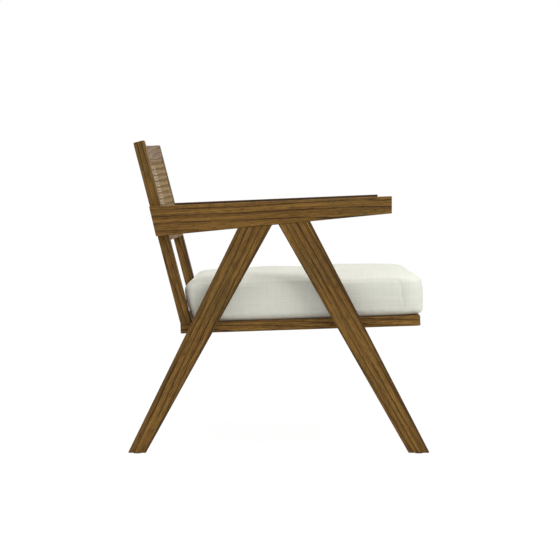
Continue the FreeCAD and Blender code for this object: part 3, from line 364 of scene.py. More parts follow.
def timber(name, board, seed, tones=STAINED, ring=0.013, pith=(0.020, -0.012), gloss=0.0, dark_side=0.0,
           sheen=0.17):
    """Stained timber whose rings, pores and streaks run along a board, through all its faces.

    The rings are bands of the distance from a pith beside the board, bent by slow noise. The arrises
    are darkened with painted shade of their rounding, and have paler worn spots: their distance over
    the surface is the sum of those from the faces either side. dark_side is how strongly
    the wood darkens towards one edge, as heartwood on the legs and as painted shade on the far arm's
    top edge and the far stile's front edge: above nothing it is the edge on the low side of the
    board's width, and below nothing the other. gloss comes off the roughness, and sheen is the
    strength of the highlights."""
    made, shader = material(name)
    own = shader.on_board(board)
    along, thick, wide = shader.parts(own)
    noise = {part: shader.noise(own, (run, over, over), seed + step, *rest)
             for step, (part, (run, over, *rest)) in enumerate(TIMBER_NOISES.items())}
    sway, ripple = noise["sway"] - 0.5, noise["ripple"] - 0.5
    streak, hair, grit, patch = (noise[part] for part in ("streak", "hair", "grit", "patch"))
    off_thick, off_wide = thick - pith[0], wide - pith[1]
    radius = (off_thick * off_thick + off_wide * off_wide) ** 0.5
    rings = (radius + along * RING_DRIFT + sway * RING_SWAY + ripple * RING_RIPPLE) / ring
    phase = rings.apply("FRACT")
    band = shader.ramp(phase, 0.30, 0.90) * (1 - shader.ramp(phase, 0.93, 1.0))
    line = shader.ramp(phase, 0.78, 0.92) * (1 - shader.ramp(phase, 0.94, 1.0))
    line = line * shader.ramp(patch, 0.34, 0.50)
    fine = (rings * 3.7).apply("SINE") * 0.5 + 0.5
    pores = shader.ramp(noise["pores"], 0.56, 0.68) * (0.45 + 0.55 * (1 - band))
    fleck = shader.ramp(noise["fleck"], 0.55, 0.65) * shader.ramp(patch, 0.30, 0.62, 0.45, 1.0)
    half_width = board.half_width + along * board.widening
    # reach is the distance from the edge whose dark band is heartwood on the legs and painted shade on the
    # far arm and far stile
    reach = half_width + wide * math.copysign(1, dark_side) + sway * HEART_AND_SHADE_SWAY
    edge = (half_width - wide.apply("ABSOLUTE")) + (board.half_thickness - thick.apply("ABSOLUTE"))
    # arris: the band along the arrises, darkened with painted shade of their rounding and rubbed paler in
    # worn spots
    arris = 1 - shader.ramp(edge + (noise["wander"] - 0.5) * ARRIS_WANDER, *ARRIS_SHADE_AND_WEAR)
    rub = arris * shader.ramp(noise["wander"], 0.60, 0.74)
    ground = shader.mix(shader.ramp(streak, 0.36, 0.66), tones["ground"], tones["light"])
    colour = shader.layered(
        ground,
        (band * 0.55 + fine * 0.16, tones["band"]),
        (shader.ramp(noise["mottle"], 0.50, 0.72) * 0.45, tones["cast"]),
        (shader.ramp(hair, 0.51, 0.63) * 0.55, tones["band"]),
        (shader.ramp(hair, 0.33, 0.45, 0.38, 0.0), tones["light"]),
        (shader.ramp(grit, 0.30, 0.46, 0.45, 0.0), tones["light"]),
        (shader.ramp(grit, 0.52, 0.66) * 0.56, tones["pore"]),
        (line * 0.95, tones["line"]),
        (fleck * 0.62, tones["pore"]),
        (pores * 0.55, tones["pore"]),
        # the dark edge band: heartwood on the legs, painted shade on the far arm's top edge and the far
        # stile's front edge
        ((1 - shader.ramp(reach, *HEART_AND_SHADE_EDGE)) * abs(dark_side), tones["line"]),
        # painted shade along the rounded arrises
        (arris * 0.42, tones["band"]),
        (rub * 0.5, tones["light"]))
    height = 0.6 - pores * 0.45 - line * 0.25 - band * 0.10 + streak * 0.12
    rough = 0.50 - gloss + pores * 0.16 + noise["cloud"] * 0.14 - rub * 0.12
    shader.surface(colour, rough, shader.bump(height, GRAIN_DEPTH, 0.7), Specular_IOR_Level=sheen)
    return made


def dress(name, finish):
    """Put a material on a node's own slots."""
    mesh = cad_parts[name].data
    mesh.materials.clear()
    mesh.materials.append(finish)


def wooden(name, axes, seed, **look):
    """Put a timber of its own on the node of a board."""
    dress(name, timber(f"{name}_timber", board_of(name, axes), seed, **look))


ARM_TOP_SLOPE = math.radians(2.4)
ARM_UNDERSIDE_SLOPE = math.radians(5.55)
ARM_AXES = upright_axes((ARM_TOP_SLOPE + ARM_UNDERSIDE_SLOPE) / 2)
SIDE_RAIL_AXES = upright_axes(SEAT_SLOPE)
STILE_AXES = upright_axes(BACK_RAKE + math.pi / 2)
BACK_RAIL_AXES = crosswise_axes(BACK_RAKE)
SEAT_RAIL_AXES = crosswise_axes(SEAT_SLOPE)

for number, (side, sign) in enumerate(SIDES):
    arm, stile, rail = f"{side}_arm", f"{side}_back_stile", f"seat_side_rail_{side}"
    # The far (left) arm takes painted shade along its top edge, where it shows above the near arm
    wooden(arm, ARM_AXES, 11 + 9 * number, ring=0.0150, pith=(0.034 * sign, -0.052),
           dark_side=-0.75 * number)
    for end in ("rear", "front"):
        leg = f"{side}_{end}_leg"
        wooden(leg, leg_axes(leg, f"{side}_{end}_glide"), 3.7 + 5 * number + 2.3 * len(end),
               ring=0.0135, pith=(0.036 * sign, 0.070), dark_side=0.6)
    # The far (left) stile takes painted shade along its front edge
    wooden(stile, STILE_AXES, 31 + 7 * number, ring=0.0095, pith=(0.05 * sign, 0.03),
           dark_side=0.8 * number)
    wooden(rail, SIDE_RAIL_AXES, 47 + 5 * number, ring=0.0085, pith=(0.045 * sign, -0.02))
for number, rail in enumerate(("back_top_rail", "back_lower_rail")):
    wooden(rail, BACK_RAIL_AXES, 61 + 4 * number, ring=0.0140, pith=(0.03, -0.03), gloss=0.06,
           sheen=0.40)
for number, rail in enumerate(("seat_rear_rail", "seat_front_rail")):
    wooden(rail, SEAT_RAIL_AXES, 71 + 3 * number, ring=0.0085, pith=(0.03, -0.02))
slats = sorted(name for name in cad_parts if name.startswith("seat_slat_"))
for number, slat in enumerate(slats):
    low, high = SEAT.extent(slat)
    half_thickness, _, half_width = (high - low) / 2
    board = Board(SEAT.out((low + high) / 2), SEAT_RAIL_AXES, half_thickness, half_width)
    dress(slat, timber(f"{slat}_timber", board, 83 + 2.9 * number, PALE, 0.011,
                       (0.010, 0.04 + 0.006 * number), 0.06))


# Camera, light and stage

CAMERA_PLACE = (0.0050, -4.340, 0.6568)
CAMERA_LENS = 107.465
CAMERA_PITCH = math.radians(3.321)
CHAIR_MIDDLE = np.array([0.0, 0.0, 0.4])

camera = bpy.data.objects.new("camera", bpy.data.cameras.new("camera"))
scene.collection.objects.link(camera)
camera.data.sensor_width = 36
camera.data.lens = CAMERA_LENS
camera.location = CAMERA_PLACE
camera.rotation_euler = (math.pi / 2 - CAMERA_PITCH, 0, 0)
scene.camera = camera
scene.view_settings.view_transform = "Standard"


def softbox(name, direction, distance, level, side):
    """A square lamp that looks at the chair's middle, and lights a white face turned to it to a level.

    Its power is the level times pi squared times the distance squared."""
    lamp = bpy.data.lights.new(name, "AREA")
    lamp.size = side
    lamp.energy = level * math.pi ** 2 * distance ** 2
    light = bpy.data.objects.new(name, lamp)
    scene.collection.objects.link(light)
    away = Vector(direction).normalized()
    light.location = Vector(CHAIR_MIDDLE.tolist()) + away * distance
    light.rotation_euler = away.to_track_quat("Z", "Y").to_euler()


softbox("key", (0.60, -0.52, 0.61), 3.5, 0.465, 2.2)
softbox("overhead", (-0.05, 0.05, 1.0), 5.0, 0.48, 3.7)
softbox("fill", (-0.86, -0.50, 0.22), 3.5, 0.13, 2.2)


def seen_straight(shader):
    """One for a ray from the camera, or off or through something polished, and nothing for others."""
    path = shader.node("LightPath", output="Is Camera Ray").socket.node.outputs
    rays = [Signal(shader, path[name]) for name in
            ("Is Camera Ray", "Is Glossy Ray", "Is Transmission Ray")]
    return rays[0].apply("MAXIMUM", rays[1]).apply("MAXIMUM", rays[2])


ROOM_LEVEL = 0.375
PAPER_GREY, PAPER_GLOW, PAPER_GLOW_SHARE = 0.8, 1.07, 0.90
FLOOR_REACH = 8.0

world = bpy.data.worlds.new("room")
scene.world = world
world.use_nodes = True
room = Shader(world.node_tree)
strength = ROOM_LEVEL + seen_straight(room) * (1 - ROOM_LEVEL)
glow = room.node("Background", None, {"Color": (1, 1, 1, 1), "Strength": strength})
room.node("OutputWorld", None, {"Surface": glow})

ends = (-FLOOR_REACH, FLOOR_REACH)
floor_points = np.array([(x, y, 0) for x in ends for y in ends])
floor = new_piece("floor", floor_points, np.array([[0, 2, 3, 1]]))
paper, shader = material("backdrop_paper")
plain = shader.node("BsdfDiffuse", None, {"Color": (PAPER_GREY, PAPER_GREY, PAPER_GREY, 1)})
white = shader.node("Emission", None, {"Strength": PAPER_GLOW})
share = seen_straight(shader) * PAPER_GLOW_SHARE
shader.finish(shader.node("MixShader", None, {0: share, 1: plain, 2: white}))
floor.data.materials.append(paper)


# Cane

CANE_PITCH = 0.016
PAIR_HALF_GAP = 0.0015
STRAND_HALF_WIDTH = 0.00115
STRAND_HALF_THICKNESS = 0.0004
WEAVE_MIDDLE = 0.0013
UPRIGHT_SWAY, LEVEL_SWAY, SLANT_SWAY = 0.00055, 0.00065, 0.0009
COLUMNS_EACH_WAY, ROWS_EACH_WAY = 15, 5
UPRIGHT_POINTS, LEVEL_POINTS, SLANT_POINTS = 96, 248, 120
BOW_CENTRE = 1.30236
BOW_RADIUS = 1.30286
CANE_HELD = 0.007
GOLDEN_SHARE = 0.61803

# A strand's section: shares of its half width and half thickness
STRAND_SHARES = np.array([(-1, 0), (-0.62, 1), (0.62, 1), (1, 0), (0.62, -1), (-0.62, -1)])

cane_low, cane_high = BACK.extent("cane_webbing")
CANE_MIDDLE = (cane_low[2] + cane_high[2]) / 2
CANE_HALF_WIDTH = (cane_high[1] - cane_low[1]) / 2
CANE_HALF_HEIGHT = (cane_high[2] - cane_low[2]) / 2


def on_bow(across, up, depth):
    """A place in the cane as a point of the chair: depth is measured from the rebate's floor forwards.

    The floor is an upright cylinder about an axis before the back, so a place lies at
    centre - root((radius - depth) ^ 2 - across ^ 2) along the back frame's own X."""
    forward = BOW_CENTRE - np.sqrt((BOW_RADIUS - depth) ** 2 - across ** 2)
    return BACK.out(vectors(forward, across, up + CANE_MIDDLE))


def attribute(piece, name, values):
    """Keep a number for each point of a piece."""
    piece.data.attributes.new(name, "FLOAT", "POINT").data.foreach_set("value", values)


def strands(name, across, up, depth, seed):
    """Flat strands of cane along paths, whose arrays have a row for each strand.

    A section's points are set off from the path by the normal within the panel and by the depth.
    Near the rebates the weave's depth fades to a flat layer: share = smooth step of the distance to
    the edge over 7 mm. Each strand has a tint from 0 to 1, in steps of the golden share, which look
    mixed."""
    inside = np.minimum(CANE_HALF_WIDTH - np.abs(across), CANE_HALF_HEIGHT - np.abs(up))
    share = np.clip(inside / CANE_HELD, 0, 1)
    share = share * share * (3 - 2 * share)
    depth = STRAND_HALF_THICKNESS + (depth - STRAND_HALF_THICKNESS) * share
    run, rise = np.gradient(across, axis=1), np.gradient(up, axis=1)
    reach = np.hypot(run, rise)
    side = STRAND_SHARES[:, 0] * STRAND_HALF_WIDTH
    lift = STRAND_SHARES[:, 1] * STRAND_HALF_THICKNESS
    points = on_bow(across[..., None] - (rise / reach)[..., None] * side,
                    up[..., None] + (run / reach)[..., None] * side, depth[..., None] + lift)
    piece = tubes(name, points)
    count, samples, around = points.shape[:3]
    numbers = np.arange(count)
    tints = (numbers * GOLDEN_SHARE + seed) % 1
    length = np.cumsum(reach, axis=1) + (tints + numbers)[:, None]
    attribute(piece, "strand_length", np.repeat(length.ravel(), around))
    attribute(piece, "strand_width", np.tile(STRAND_SHARES[:, 0], count * samples))
    attribute(piece, "strand_tint", np.repeat(tints, samples * around))
    return piece


def cane_finish(name):
    """Cane's shiny skin: a tint for each strand, fine streaks along it, and darker joints and edges."""
    made, shader = material(name)
    length, width, tint = (shader.kept(part) for part in ("strand_length", "strand_width", "strand_tint"))
    place = shader.join(length, width, tint * 40)
    streak = shader.noise(place, (28, 3.4, 1), 1, 3.0, 0.6)
    blotch = shader.noise(place, (7, 0.4, 1), 2)
    joint = shader.ramp(shader.noise(place, (95, 0.3, 1), 3, 1.0), 0.70, 0.78)
    edge = shader.ramp(width.apply("ABSOLUTE"), 0.62, 1.0)
    colour = shader.layered(
        shader.mix(shader.ramp(streak, 0.35, 0.68), (158, 128, 78), (193, 166, 118)),
        (tint * 0.6, (142, 108, 62)),
        (shader.ramp(blotch, 0.48, 0.70) * 0.5, (206, 182, 138)),
        (joint * 0.6, (92, 64, 34)),
        (edge * 0.75, (84, 60, 32)))
    shader.surface(colour, 0.44 + streak * 0.16 + edge * 0.2,
                   shader.bump(streak * 0.7 - joint * 0.4, 0.00012, 0.8), Specular_IOR_Level=0.35)
    return made


def pair_lines(each_way):
    """The places of pairs of strands, and on which side of its pair's middle each strand lies."""
    middles = (np.arange(-each_way, each_way) + 0.5) * CANE_PITCH
    sides = np.array([-1, 1])
    return (middles[:, None] + sides * PAIR_HALF_GAP).ravel(), np.tile(sides, len(middles))


def cane_panel():
    """The pairs of upright and level strands, and the two sets of slanting strands.

    With p for the pitch, the pairs lie at (k + 1/2) p across and up. Of each upright pair one strand
    passes before and the other behind the level ones: depth = middle +- a (1 - cos(2 pi up / p)) / 2.
    The level strands sway the other way, -b sin(2 pi across / p + pi). A slanting strand keeps
    across -+ up at (m + 1/2) p, and goes over the level and under the upright strands, or the other
    way: depth = middle +- c cos(2 pi across / p)."""
    turn = 2 * math.pi / CANE_PITCH

    across, side = pair_lines(COLUMNS_EACH_WAY)
    up = np.linspace(-CANE_HALF_HEIGHT, CANE_HALF_HEIGHT, UPRIGHT_POINTS)
    across, up = np.meshgrid(across, up, indexing="ij")
    depth = WEAVE_MIDDLE - side[:, None] * UPRIGHT_SWAY * (1 - np.cos(turn * up)) / 2
    uprights = strands("cane_uprights", across, up, depth, 0.1)

    up = pair_lines(ROWS_EACH_WAY)[0]
    across = np.linspace(-CANE_HALF_WIDTH, CANE_HALF_WIDTH, LEVEL_POINTS)
    up, across = np.meshgrid(up, across, indexing="ij")
    depth = WEAVE_MIDDLE - LEVEL_SWAY * np.sin(turn * across + math.pi)
    levels = strands("cane_levels", across, up, depth, 0.4)

    slants = []
    for sign in (-1, 1):
        reach = int((CANE_HALF_WIDTH + CANE_HALF_HEIGHT) / CANE_PITCH)
        start = (np.arange(-reach, reach + 1) + 0.5) * CANE_PITCH
        low = np.maximum(-CANE_HALF_WIDTH, start - CANE_HALF_HEIGHT)
        high = np.minimum(CANE_HALF_WIDTH, start + CANE_HALF_HEIGHT)
        kept = high - low > CANE_HELD
        start, low, high = start[kept], low[kept], high[kept]
        across = low[:, None] + (high - low)[:, None] * np.linspace(0, 1, SLANT_POINTS)
        up = sign * (across - start[:, None])
        slants.append((across, up, WEAVE_MIDDLE + sign * SLANT_SWAY * np.cos(turn * across)))
    slanting = strands("cane_slants", *(np.concatenate(part) for part in zip(*slants)), 0.7)
    return uprights, levels, slanting


skin = cane_finish("cane_skin")
for weave in cane_panel():
    finish_piece(weave, skin, "frame", "cane", "cane_webbing")


# The cushion

CUSHION_LEAN = math.tan(BACK_RAKE - SEAT_SLOPE)
CUSHION_REAR_FOOT = 0.0255
CUSHION_CELLS = (98, 92, 20)
FRONT_CORNER, REAR_CORNER = 0.042, 0.023
# The form starts inside the cover's solid, to leave room for the swell. Its outline is drawn in
# midway, so its front is eased forwards
START_INSIDE = 0.0010
DRAWN_IN, ENDS_SHARE = 0.004, 0.8
FRONT_EASE = 0.0065
SWELL_STEPS = 20
SWELL_OUT, SWELL_IN, SWELL_ALONG = 0.0018, 0.0008, 0.0050

cushion_low, cushion_high = SEAT.extent("cushion_cover")
CUSHION_TALL = cushion_high[2] - cushion_low[2]

# A section of the cushion from the middle of its underside, round an edge, to the middle of its
# top: the inset from the outline, and the share of the height
SECTION = np.array([(0.275, 0), (0.060, 0), (0.0100, 0.001), (0.0044, 0.03), (0.0014, 0.09),
                    (0, 0.38), (0.0003, 0.62), (0.0021, 0.76), (0.0064, 0.845), (0.0157, 0.905),
                    (0.0335, 0.950), (0.0630, 0.984), (0.1010, 1.0), (0.275, 1.004)])
UNDERSIDE_END, TOP_START = 0.0050, 0.0075
SECTION_STEPS, SMOOTHED_OVER = 4000, 61

CLOTH = {"quality": 5, "mass": 0.3, "tension_stiffness": 18, "compression_stiffness": 12,
         "shear_stiffness": 6, "bending_stiffness": 0.6, "use_pressure": True,
         "uniform_pressure_force": 4}


def smoothed(values, width):
    """A moving mean with a raised cosine for its weights, whose ends are held."""
    weights = np.hanning(width + 2)[1:-1]
    weights /= weights.sum()
    return np.convolve(np.pad(values, width // 2, mode="edge"), weights, mode="valid")


def section_curve():
    """The section as a smooth curve in steps of one length: its reach, inset and height."""
    height = SECTION[:, 1] * CUSHION_TALL
    reach = np.concatenate([[0], np.cumsum(np.hypot(np.diff(SECTION[:, 0]), np.diff(height)))])
    steps = np.linspace(0, reach[-1], SECTION_STEPS + 1)
    inset = smoothed(np.interp(steps, reach, SECTION[:, 0]), SMOOTHED_OVER)
    height = smoothed(np.interp(steps, reach, height), SMOOTHED_OVER)
    return steps, inset, height


def box_lattice(counts):
    """The whole-number points on the outside of a box of cells, and the quads between them."""
    steps = np.array([(0, 0), (1, 0), (1, 1), (0, 1)])
    sides = []
    for axis in range(3):
        first, second = (axis + 1) % 3, (axis + 2) % 3
        cells = vectors(np.arange(counts[first])[:, None], np.arange(counts[second])).reshape(-1, 1, 2)
        for far in (0, 1):
            quads = np.zeros((len(cells), 4, 3), int)
            quads[..., (first, second)] = cells + (steps if far else steps[::-1])
            quads[..., axis] = counts[axis] * far
            sides.append(quads)
    points, index = np.unique(np.concatenate(sides).reshape(-1, 3), axis=0, return_inverse=True)
    return points, index.reshape(-1, 4)


def cushion_form():
    """A crowned box: nested outlines with rounded corners, carried round the section above.

    A lattice point at (u, v, w) in -1 to 1 lies on the ring m = max(|u|, |v|). Its inset and height
    come from the section, the ring's half sizes shrink in step with the inset, and a corner's point
    is moved onto an arc. Midway the outline is drawn in: its sides by d (1 - (x / half width) ^ 2),
    and its ends by a share of d (1 - (y / half width) ^ 2)."""
    lattice, quads = box_lattice(CUSHION_CELLS)
    u, v, w = (2 * lattice / np.array(CUSHION_CELLS) - 1).T
    ring = np.maximum(np.abs(u), np.abs(v))
    steps, inset, height = section_curve()
    middle = int(np.argmin(inset))
    under_end = steps[:middle][np.searchsorted(-inset[:middle], -UNDERSIDE_END)]
    top_start = steps[middle:][np.searchsorted(inset[middle:], TOP_START)]
    reach = np.where(w < -0.9999, under_end * ring,
                     under_end + (w + 1) / 2 * (top_start - under_end))
    reach = np.where(w > 0.9999, top_start + (1 - ring) * (steps[-1] - top_start), reach)
    inward = np.interp(reach, steps, inset) + START_INSIDE
    up = np.interp(reach, steps, height) * (1 - START_INSIDE / CUSHION_TALL)
    half_wide = (cushion_high[1] - cushion_low[1]) / 2
    rear = CUSHION_REAR_FOOT - up * CUSHION_LEAN
    front = cushion_high[0] + FRONT_EASE
    half_long = (front - rear) / 2
    share = np.clip(1 - inward / half_wide, 0, 1)
    half = vectors(half_long, half_wide) * share[:, None]
    at = vectors(u, v) / np.maximum(ring, 1e-6)[:, None] * half
    corner = np.where(u > 0, FRONT_CORNER, REAR_CORNER)
    radius = np.minimum(corner + 0.5 * inward, 0.95 * half.min(axis=1))[:, None]
    core = np.clip(at, radius - half, half - radius)
    off = at - core
    far = np.hypot(off[:, 0], off[:, 1])[:, None]
    both = (np.abs(off) > 1e-9).all(axis=1)[:, None]
    at = np.where(both, core + off / np.maximum(far, 1e-9) * radius, at)
    drawn = DRAWN_IN * np.clip(1 - (at / half_wide) ** 2, 0, 1)
    pull = vectors(drawn[:, 1] * ENDS_SHARE, drawn[:, 0]) * (share ** 6)[:, None]
    at = at - np.sign(at) * pull * np.abs(vectors(u, v)) ** 4
    return vectors((front + rear) / 2 + at[:, 0], at[:, 1], cushion_low[2] + up), quads


def set_points(piece, points):
    """Move the points of a piece."""
    piece.data.vertices.foreach_set("co", points.ravel())
    piece.data.update()


def applied(piece):
    """Put what a piece's modifiers make in the place of its mesh, and take them off."""
    whole = bpy.context.evaluated_depsgraph_get()
    whole.update()
    mesh = bpy.data.meshes.new_from_object(piece.evaluated_get(whole))
    piece.modifiers.clear()
    piece.data = mesh


def swell(piece):
    """Fill a closed cloth with air for a few steps, and hold each point near its start.

    What it moves by is split along the start's normal and across it, and each part is held within
    its own limits, so that the edges stay as crisp as foam keeps them."""
    start, normals = read(piece.data.vertices, "co"), read(piece.data.vertices, "normal")
    cloth = piece.modifiers.new("cloth", "CLOTH")
    for setting, value in CLOTH.items():
        setattr(cloth.settings, setting, value)
    cloth.settings.effector_weights.gravity = 0
    for step in range(1, SWELL_STEPS + 1):
        scene.frame_set(step)
    applied(piece)
    scene.frame_set(1)
    moved = read(piece.data.vertices, "co") - start
    out = (moved * normals).sum(axis=1, keepdims=True)
    along = moved - out * normals
    reach = np.linalg.norm(along, axis=1, keepdims=True)
    along = along * np.minimum(1, SWELL_ALONG / np.maximum(reach, 1e-9))
    set_points(piece, start + along + normals * np.clip(out, -SWELL_IN, SWELL_OUT))


def refined(piece):
    """Divide each quad of a piece into four, and round them."""
    divide = piece.modifiers.new("divide", "SUBSURF")
    divide.levels = divide.render_levels = 1
    applied(piece)


def hump(values, width):
    """A rounded ridge of height 1: e ^ (-(value / width) ^ 2 / 2)."""
    return np.exp(-0.5 * (values / width) ** 2)


def rounded_distance(x, z, low, high, radius):
    """The distance to a rectangle with rounded corners, less than nothing inside it.

    q = |point - middle| - half sizes + radius, and the distance is |max(q, 0)| + min(max q, 0) - radius."""
    low, high = np.array(low), np.array(high)
    middle, half = (low + high) / 2, (high - low) / 2
    q = np.abs(vectors(x, z) - middle) - half + radius
    return np.linalg.norm(np.maximum(q, 0), axis=-1) + np.minimum(q.max(axis=-1), 0) - radius


# A side panel's seam: its distances from the cushion's front, rear foot and underside, then the
# groove's and the puckers' depths and widths
SEAM_FRONT, SEAM_REAR, SEAM_LOW, SEAM_HIGH = 0.044, 0.022, 0.009, 0.090
SEAM_RADIUS = 0.014
SEAM_DEPTH, SEAM_WIDTH = 0.0006, 0.0020
PUCKER_DEPTH, PUCKER_WIDTH = 0.0003, 0.012
# The waves of the puckers: height, turns along and up in radians for each metre, and start
PUCKER_WAVES = ((1, 260, 90, 0), (0.7, 413, -150, 1.0), (0.6, 151, 0, 2.0))
PANEL_START, PANEL_FADE = 0.235, 0.022
# The top: how far it sags in broad and in finer waves, and its long fold beside the right edge
TOP_FROM, TOP_FADE = 0.080, 0.02
BROAD_SAG, FINE_SAG = 0.0016, 0.0011
SAG_MIDDLE, SAG_REACH = 0.30, 0.30
FOLD_PLACE, FOLD_SWAY, FOLD_WIDTH = -0.236, 0.010, 0.0045
FOLD_START, FOLD_END = 0.035, 0.275
FOLD_DEPTH, FOLD_DEEPER, DEEPEST_PLACE, DEEP_REACH = 0.0012, 0.0020, 0.215, 0.040
COVER_RISE, COVER_HALF_WIDTH = 0.002, 0.2772
# The zip's channel in the rear face
FACE_GAP = 0.0012
CHANNEL_DEPTH, CHANNEL_HALF_HEIGHT, CHANNEL_EDGE, CHANNEL_END = 0.0016, 0.0105, 0.003, 0.006

zip_low, zip_high = BACK.extent("cushion_zip")
ZIP_MIDDLE = (zip_low[2] + zip_high[2]) / 2


def sew(piece):
    """Seams, a fold and the zip's channel, pressed into the swollen cover, and its flat underside.

    Each side panel has a seam round it, a groove with shallow puckers beside it: their depth is a
    sum of sines of the place along it times a ridge of the distance. A long fold lies on the top
    near the right edge. The rear face and the underside stay clear of the frame."""
    x, y, z = SEAT.own(read(piece.data.vertices, "co")).T
    up = z - cushion_low[2]
    side_share = np.clip((np.abs(y) - PANEL_START) / PANEL_FADE, 0, 1)
    seam = rounded_distance(x + up * CUSHION_LEAN * 0.5, up, (CUSHION_REAR_FOOT + SEAM_REAR, SEAM_LOW),
                            (cushion_high[0] - SEAM_FRONT, SEAM_HIGH), SEAM_RADIUS)
    seam = np.where(side_share > 0, seam, 0.05)
    pucker = sum(height * np.sin(x * along + up * rise + start)
                 for height, along, rise, start in PUCKER_WAVES)
    pucker /= sum(wave[0] for wave in PUCKER_WAVES)
    pressed = SEAM_DEPTH * hump(seam, SEAM_WIDTH) + PUCKER_DEPTH * hump(seam, PUCKER_WIDTH) * pucker
    y = y - np.sign(y) * pressed * side_share
    ends = np.clip((0.62 - np.abs(x - SAG_MIDDLE) / SAG_REACH) * 4, 0, 1)
    sag = (BROAD_SAG * np.sin(x * 23 + 0.7) * np.sin(y * 19 + 0.4)
           + FINE_SAG * np.sin(x * 41 + y * 13 + 2.0))
    top_share = np.clip((up - TOP_FROM) / TOP_FADE, 0, 1)
    fold = hump(y - FOLD_PLACE - FOLD_SWAY * np.sin(x * 9), FOLD_WIDTH)
    along = np.clip((x - FOLD_START) / 0.03, 0, 1) * np.clip((FOLD_END - x) / 0.05, 0, 1)
    deep = FOLD_DEPTH + FOLD_DEEPER * hump(x - DEEPEST_PLACE, DEEP_REACH)
    z = z + top_share * (sag * ends - fold * along * deep)
    z = np.clip(z, cushion_low[2], cushion_high[2] + COVER_RISE)
    y = np.clip(y, -COVER_HALF_WIDTH, COVER_HALF_WIDTH)
    own = BACK.own(SEAT.out(vectors(x, y, z)))
    channel = (np.clip((zip_high[1] + CHANNEL_END - np.abs(own[:, 1])) / CHANNEL_END, 0, 1)
               * np.clip((CHANNEL_HALF_HEIGHT - np.abs(own[:, 2] - ZIP_MIDDLE)) / CHANNEL_EDGE, 0, 1))
    face = zip_low[0] + FACE_GAP
    near = own[:, 0] < face + 0.02
    own[:, 0] = np.where(near, np.maximum(own[:, 0], face + channel * CHANNEL_DEPTH), own[:, 0])
    set_points(piece, BACK.out(own))
    attribute(piece, "seam", np.abs(seam) + (1 - side_share) * 0.02)


def cloth_map(piece):
    """Lay the cloth's threads on the cover in metres: u along and v across, panel by panel.

    A face of a side panel takes u = x and v = z, one of the front and rear u = z and v = y, and
    the rest u = x and v = y, in the seat's frame. A panel is what faces its way by over 0.72."""
    mesh = piece.data
    totals = read(mesh.polygons, "loop_total", 1, int)
    facing = np.repeat(np.abs(read(mesh.polygons, "normal") @ SEAT.axes.T), totals, axis=0)
    own = SEAT.own(read(mesh.vertices, "co"))[read(mesh.loops, "vertex_index", 1, int)]
    end, side = facing[:, 0] > 0.72, facing[:, 1] > 0.72
    u = np.where(end, own[:, 2], own[:, 0])
    v = np.where(side, own[:, 2], own[:, 1])
    mesh.uv_layers.new(name="cloth").data.foreach_set("uv", vectors(u, v).ravel())


THREAD_PITCH = 0.00105


def linen():
    """A plain weave of uneven off-white threads: each thread is a half round of a sine, over one and
    under the next, with thicker slubs along both directions."""
    made, shader = material("linen_weave")
    cloth = shader.node("UVMap", {"uv_map": "cloth"})
    u, v, _ = shader.parts(cloth)
    turn = math.pi / THREAD_PITCH
    wander = shader.noise(cloth, (60, 60, 60), 3) - 0.5
    warp = (u * turn + wander * 1.6).apply("SINE")
    weft = (v * turn + wander * 1.6).apply("SINE")
    weave = (warp * weft) * 0.5 + 0.5
    warp_slub = shader.noise(cloth, (900, 26, 1), 1)
    weft_slub = shader.noise(cloth, (26, 900, 1), 2)
    slub = shader.ramp(warp_slub, 0.56, 0.70) + shader.ramp(weft_slub, 0.56, 0.70)
    broad = shader.noise(shader.here(), (9, 9, 9), 4, 3.0)
    fleck = shader.ramp(shader.noise(cloth, (420, 420, 1), 5, 1.0), 0.70, 0.76)
    thick = [(shader.ramp(shader.noise(cloth, scale, seed, 2.0, 0.6), 0.42, 0.64) * 0.20, (216, 217, 202))
             for seed, scale in ((6, (190, 9, 1)), (7, (9, 190, 1)))]
    seam = shader.kept("seam")
    # the seam's groove: it presses the bump, and in the colour it is a line of painted shade
    seam_groove_and_shade = 1 - shader.ramp(seam, 0.0005, 0.0016)
    beside = 1 - shader.ramp(seam, 0.001, 0.007)
    colour = shader.layered(
        shader.mix(weave * 0.45 + warp_slub * 0.35, (230, 231, 217), (242, 243, 235)),
        (slub * 0.22, (220, 217, 199)),
        *thick,
        (shader.ramp(broad, 0.40, 0.70) * 0.25, (235, 236, 225)),
        (fleck * 0.18, (196, 184, 156)),
        # painted shade in the seam's groove and the strip beside it
        (beside * 0.06, (206, 200, 184)),
        (seam_groove_and_shade * 0.12, (158, 152, 134)))
    threads = shader.bump(weave * 0.6 + slub * 0.5, 0.00022, 0.55)
    surface = shader.bump(broad * 0.6 + wander * 0.3 - seam_groove_and_shade * 0.5, 0.0011, 0.30, threads)
    shader.surface(colour, 0.82 + warp_slub * 0.1 - weave * 0.05, surface,
                   Sheen_Weight=0.12, Sheen_Roughness=0.5, Specular_IOR_Level=0.25)
    return made


form, cells = cushion_form()
cover = new_piece("linen_cushion", SEAT.out(form), cells)
swell(cover)
refined(cover)
sew(cover)
cloth_map(cover)
cover.data.shade_smooth()
finish_piece(cover, linen(), "cushion", "linen", "cushion_cover", "foam_core")


# Splines, glides and hardware

# Each metal's light and dark tone
STEEL = (186, 186, 184), (128, 128, 128)
BRASS = (206, 172, 104), (150, 112, 58)
TEETH_METAL = (198, 192, 178), (150, 144, 130)


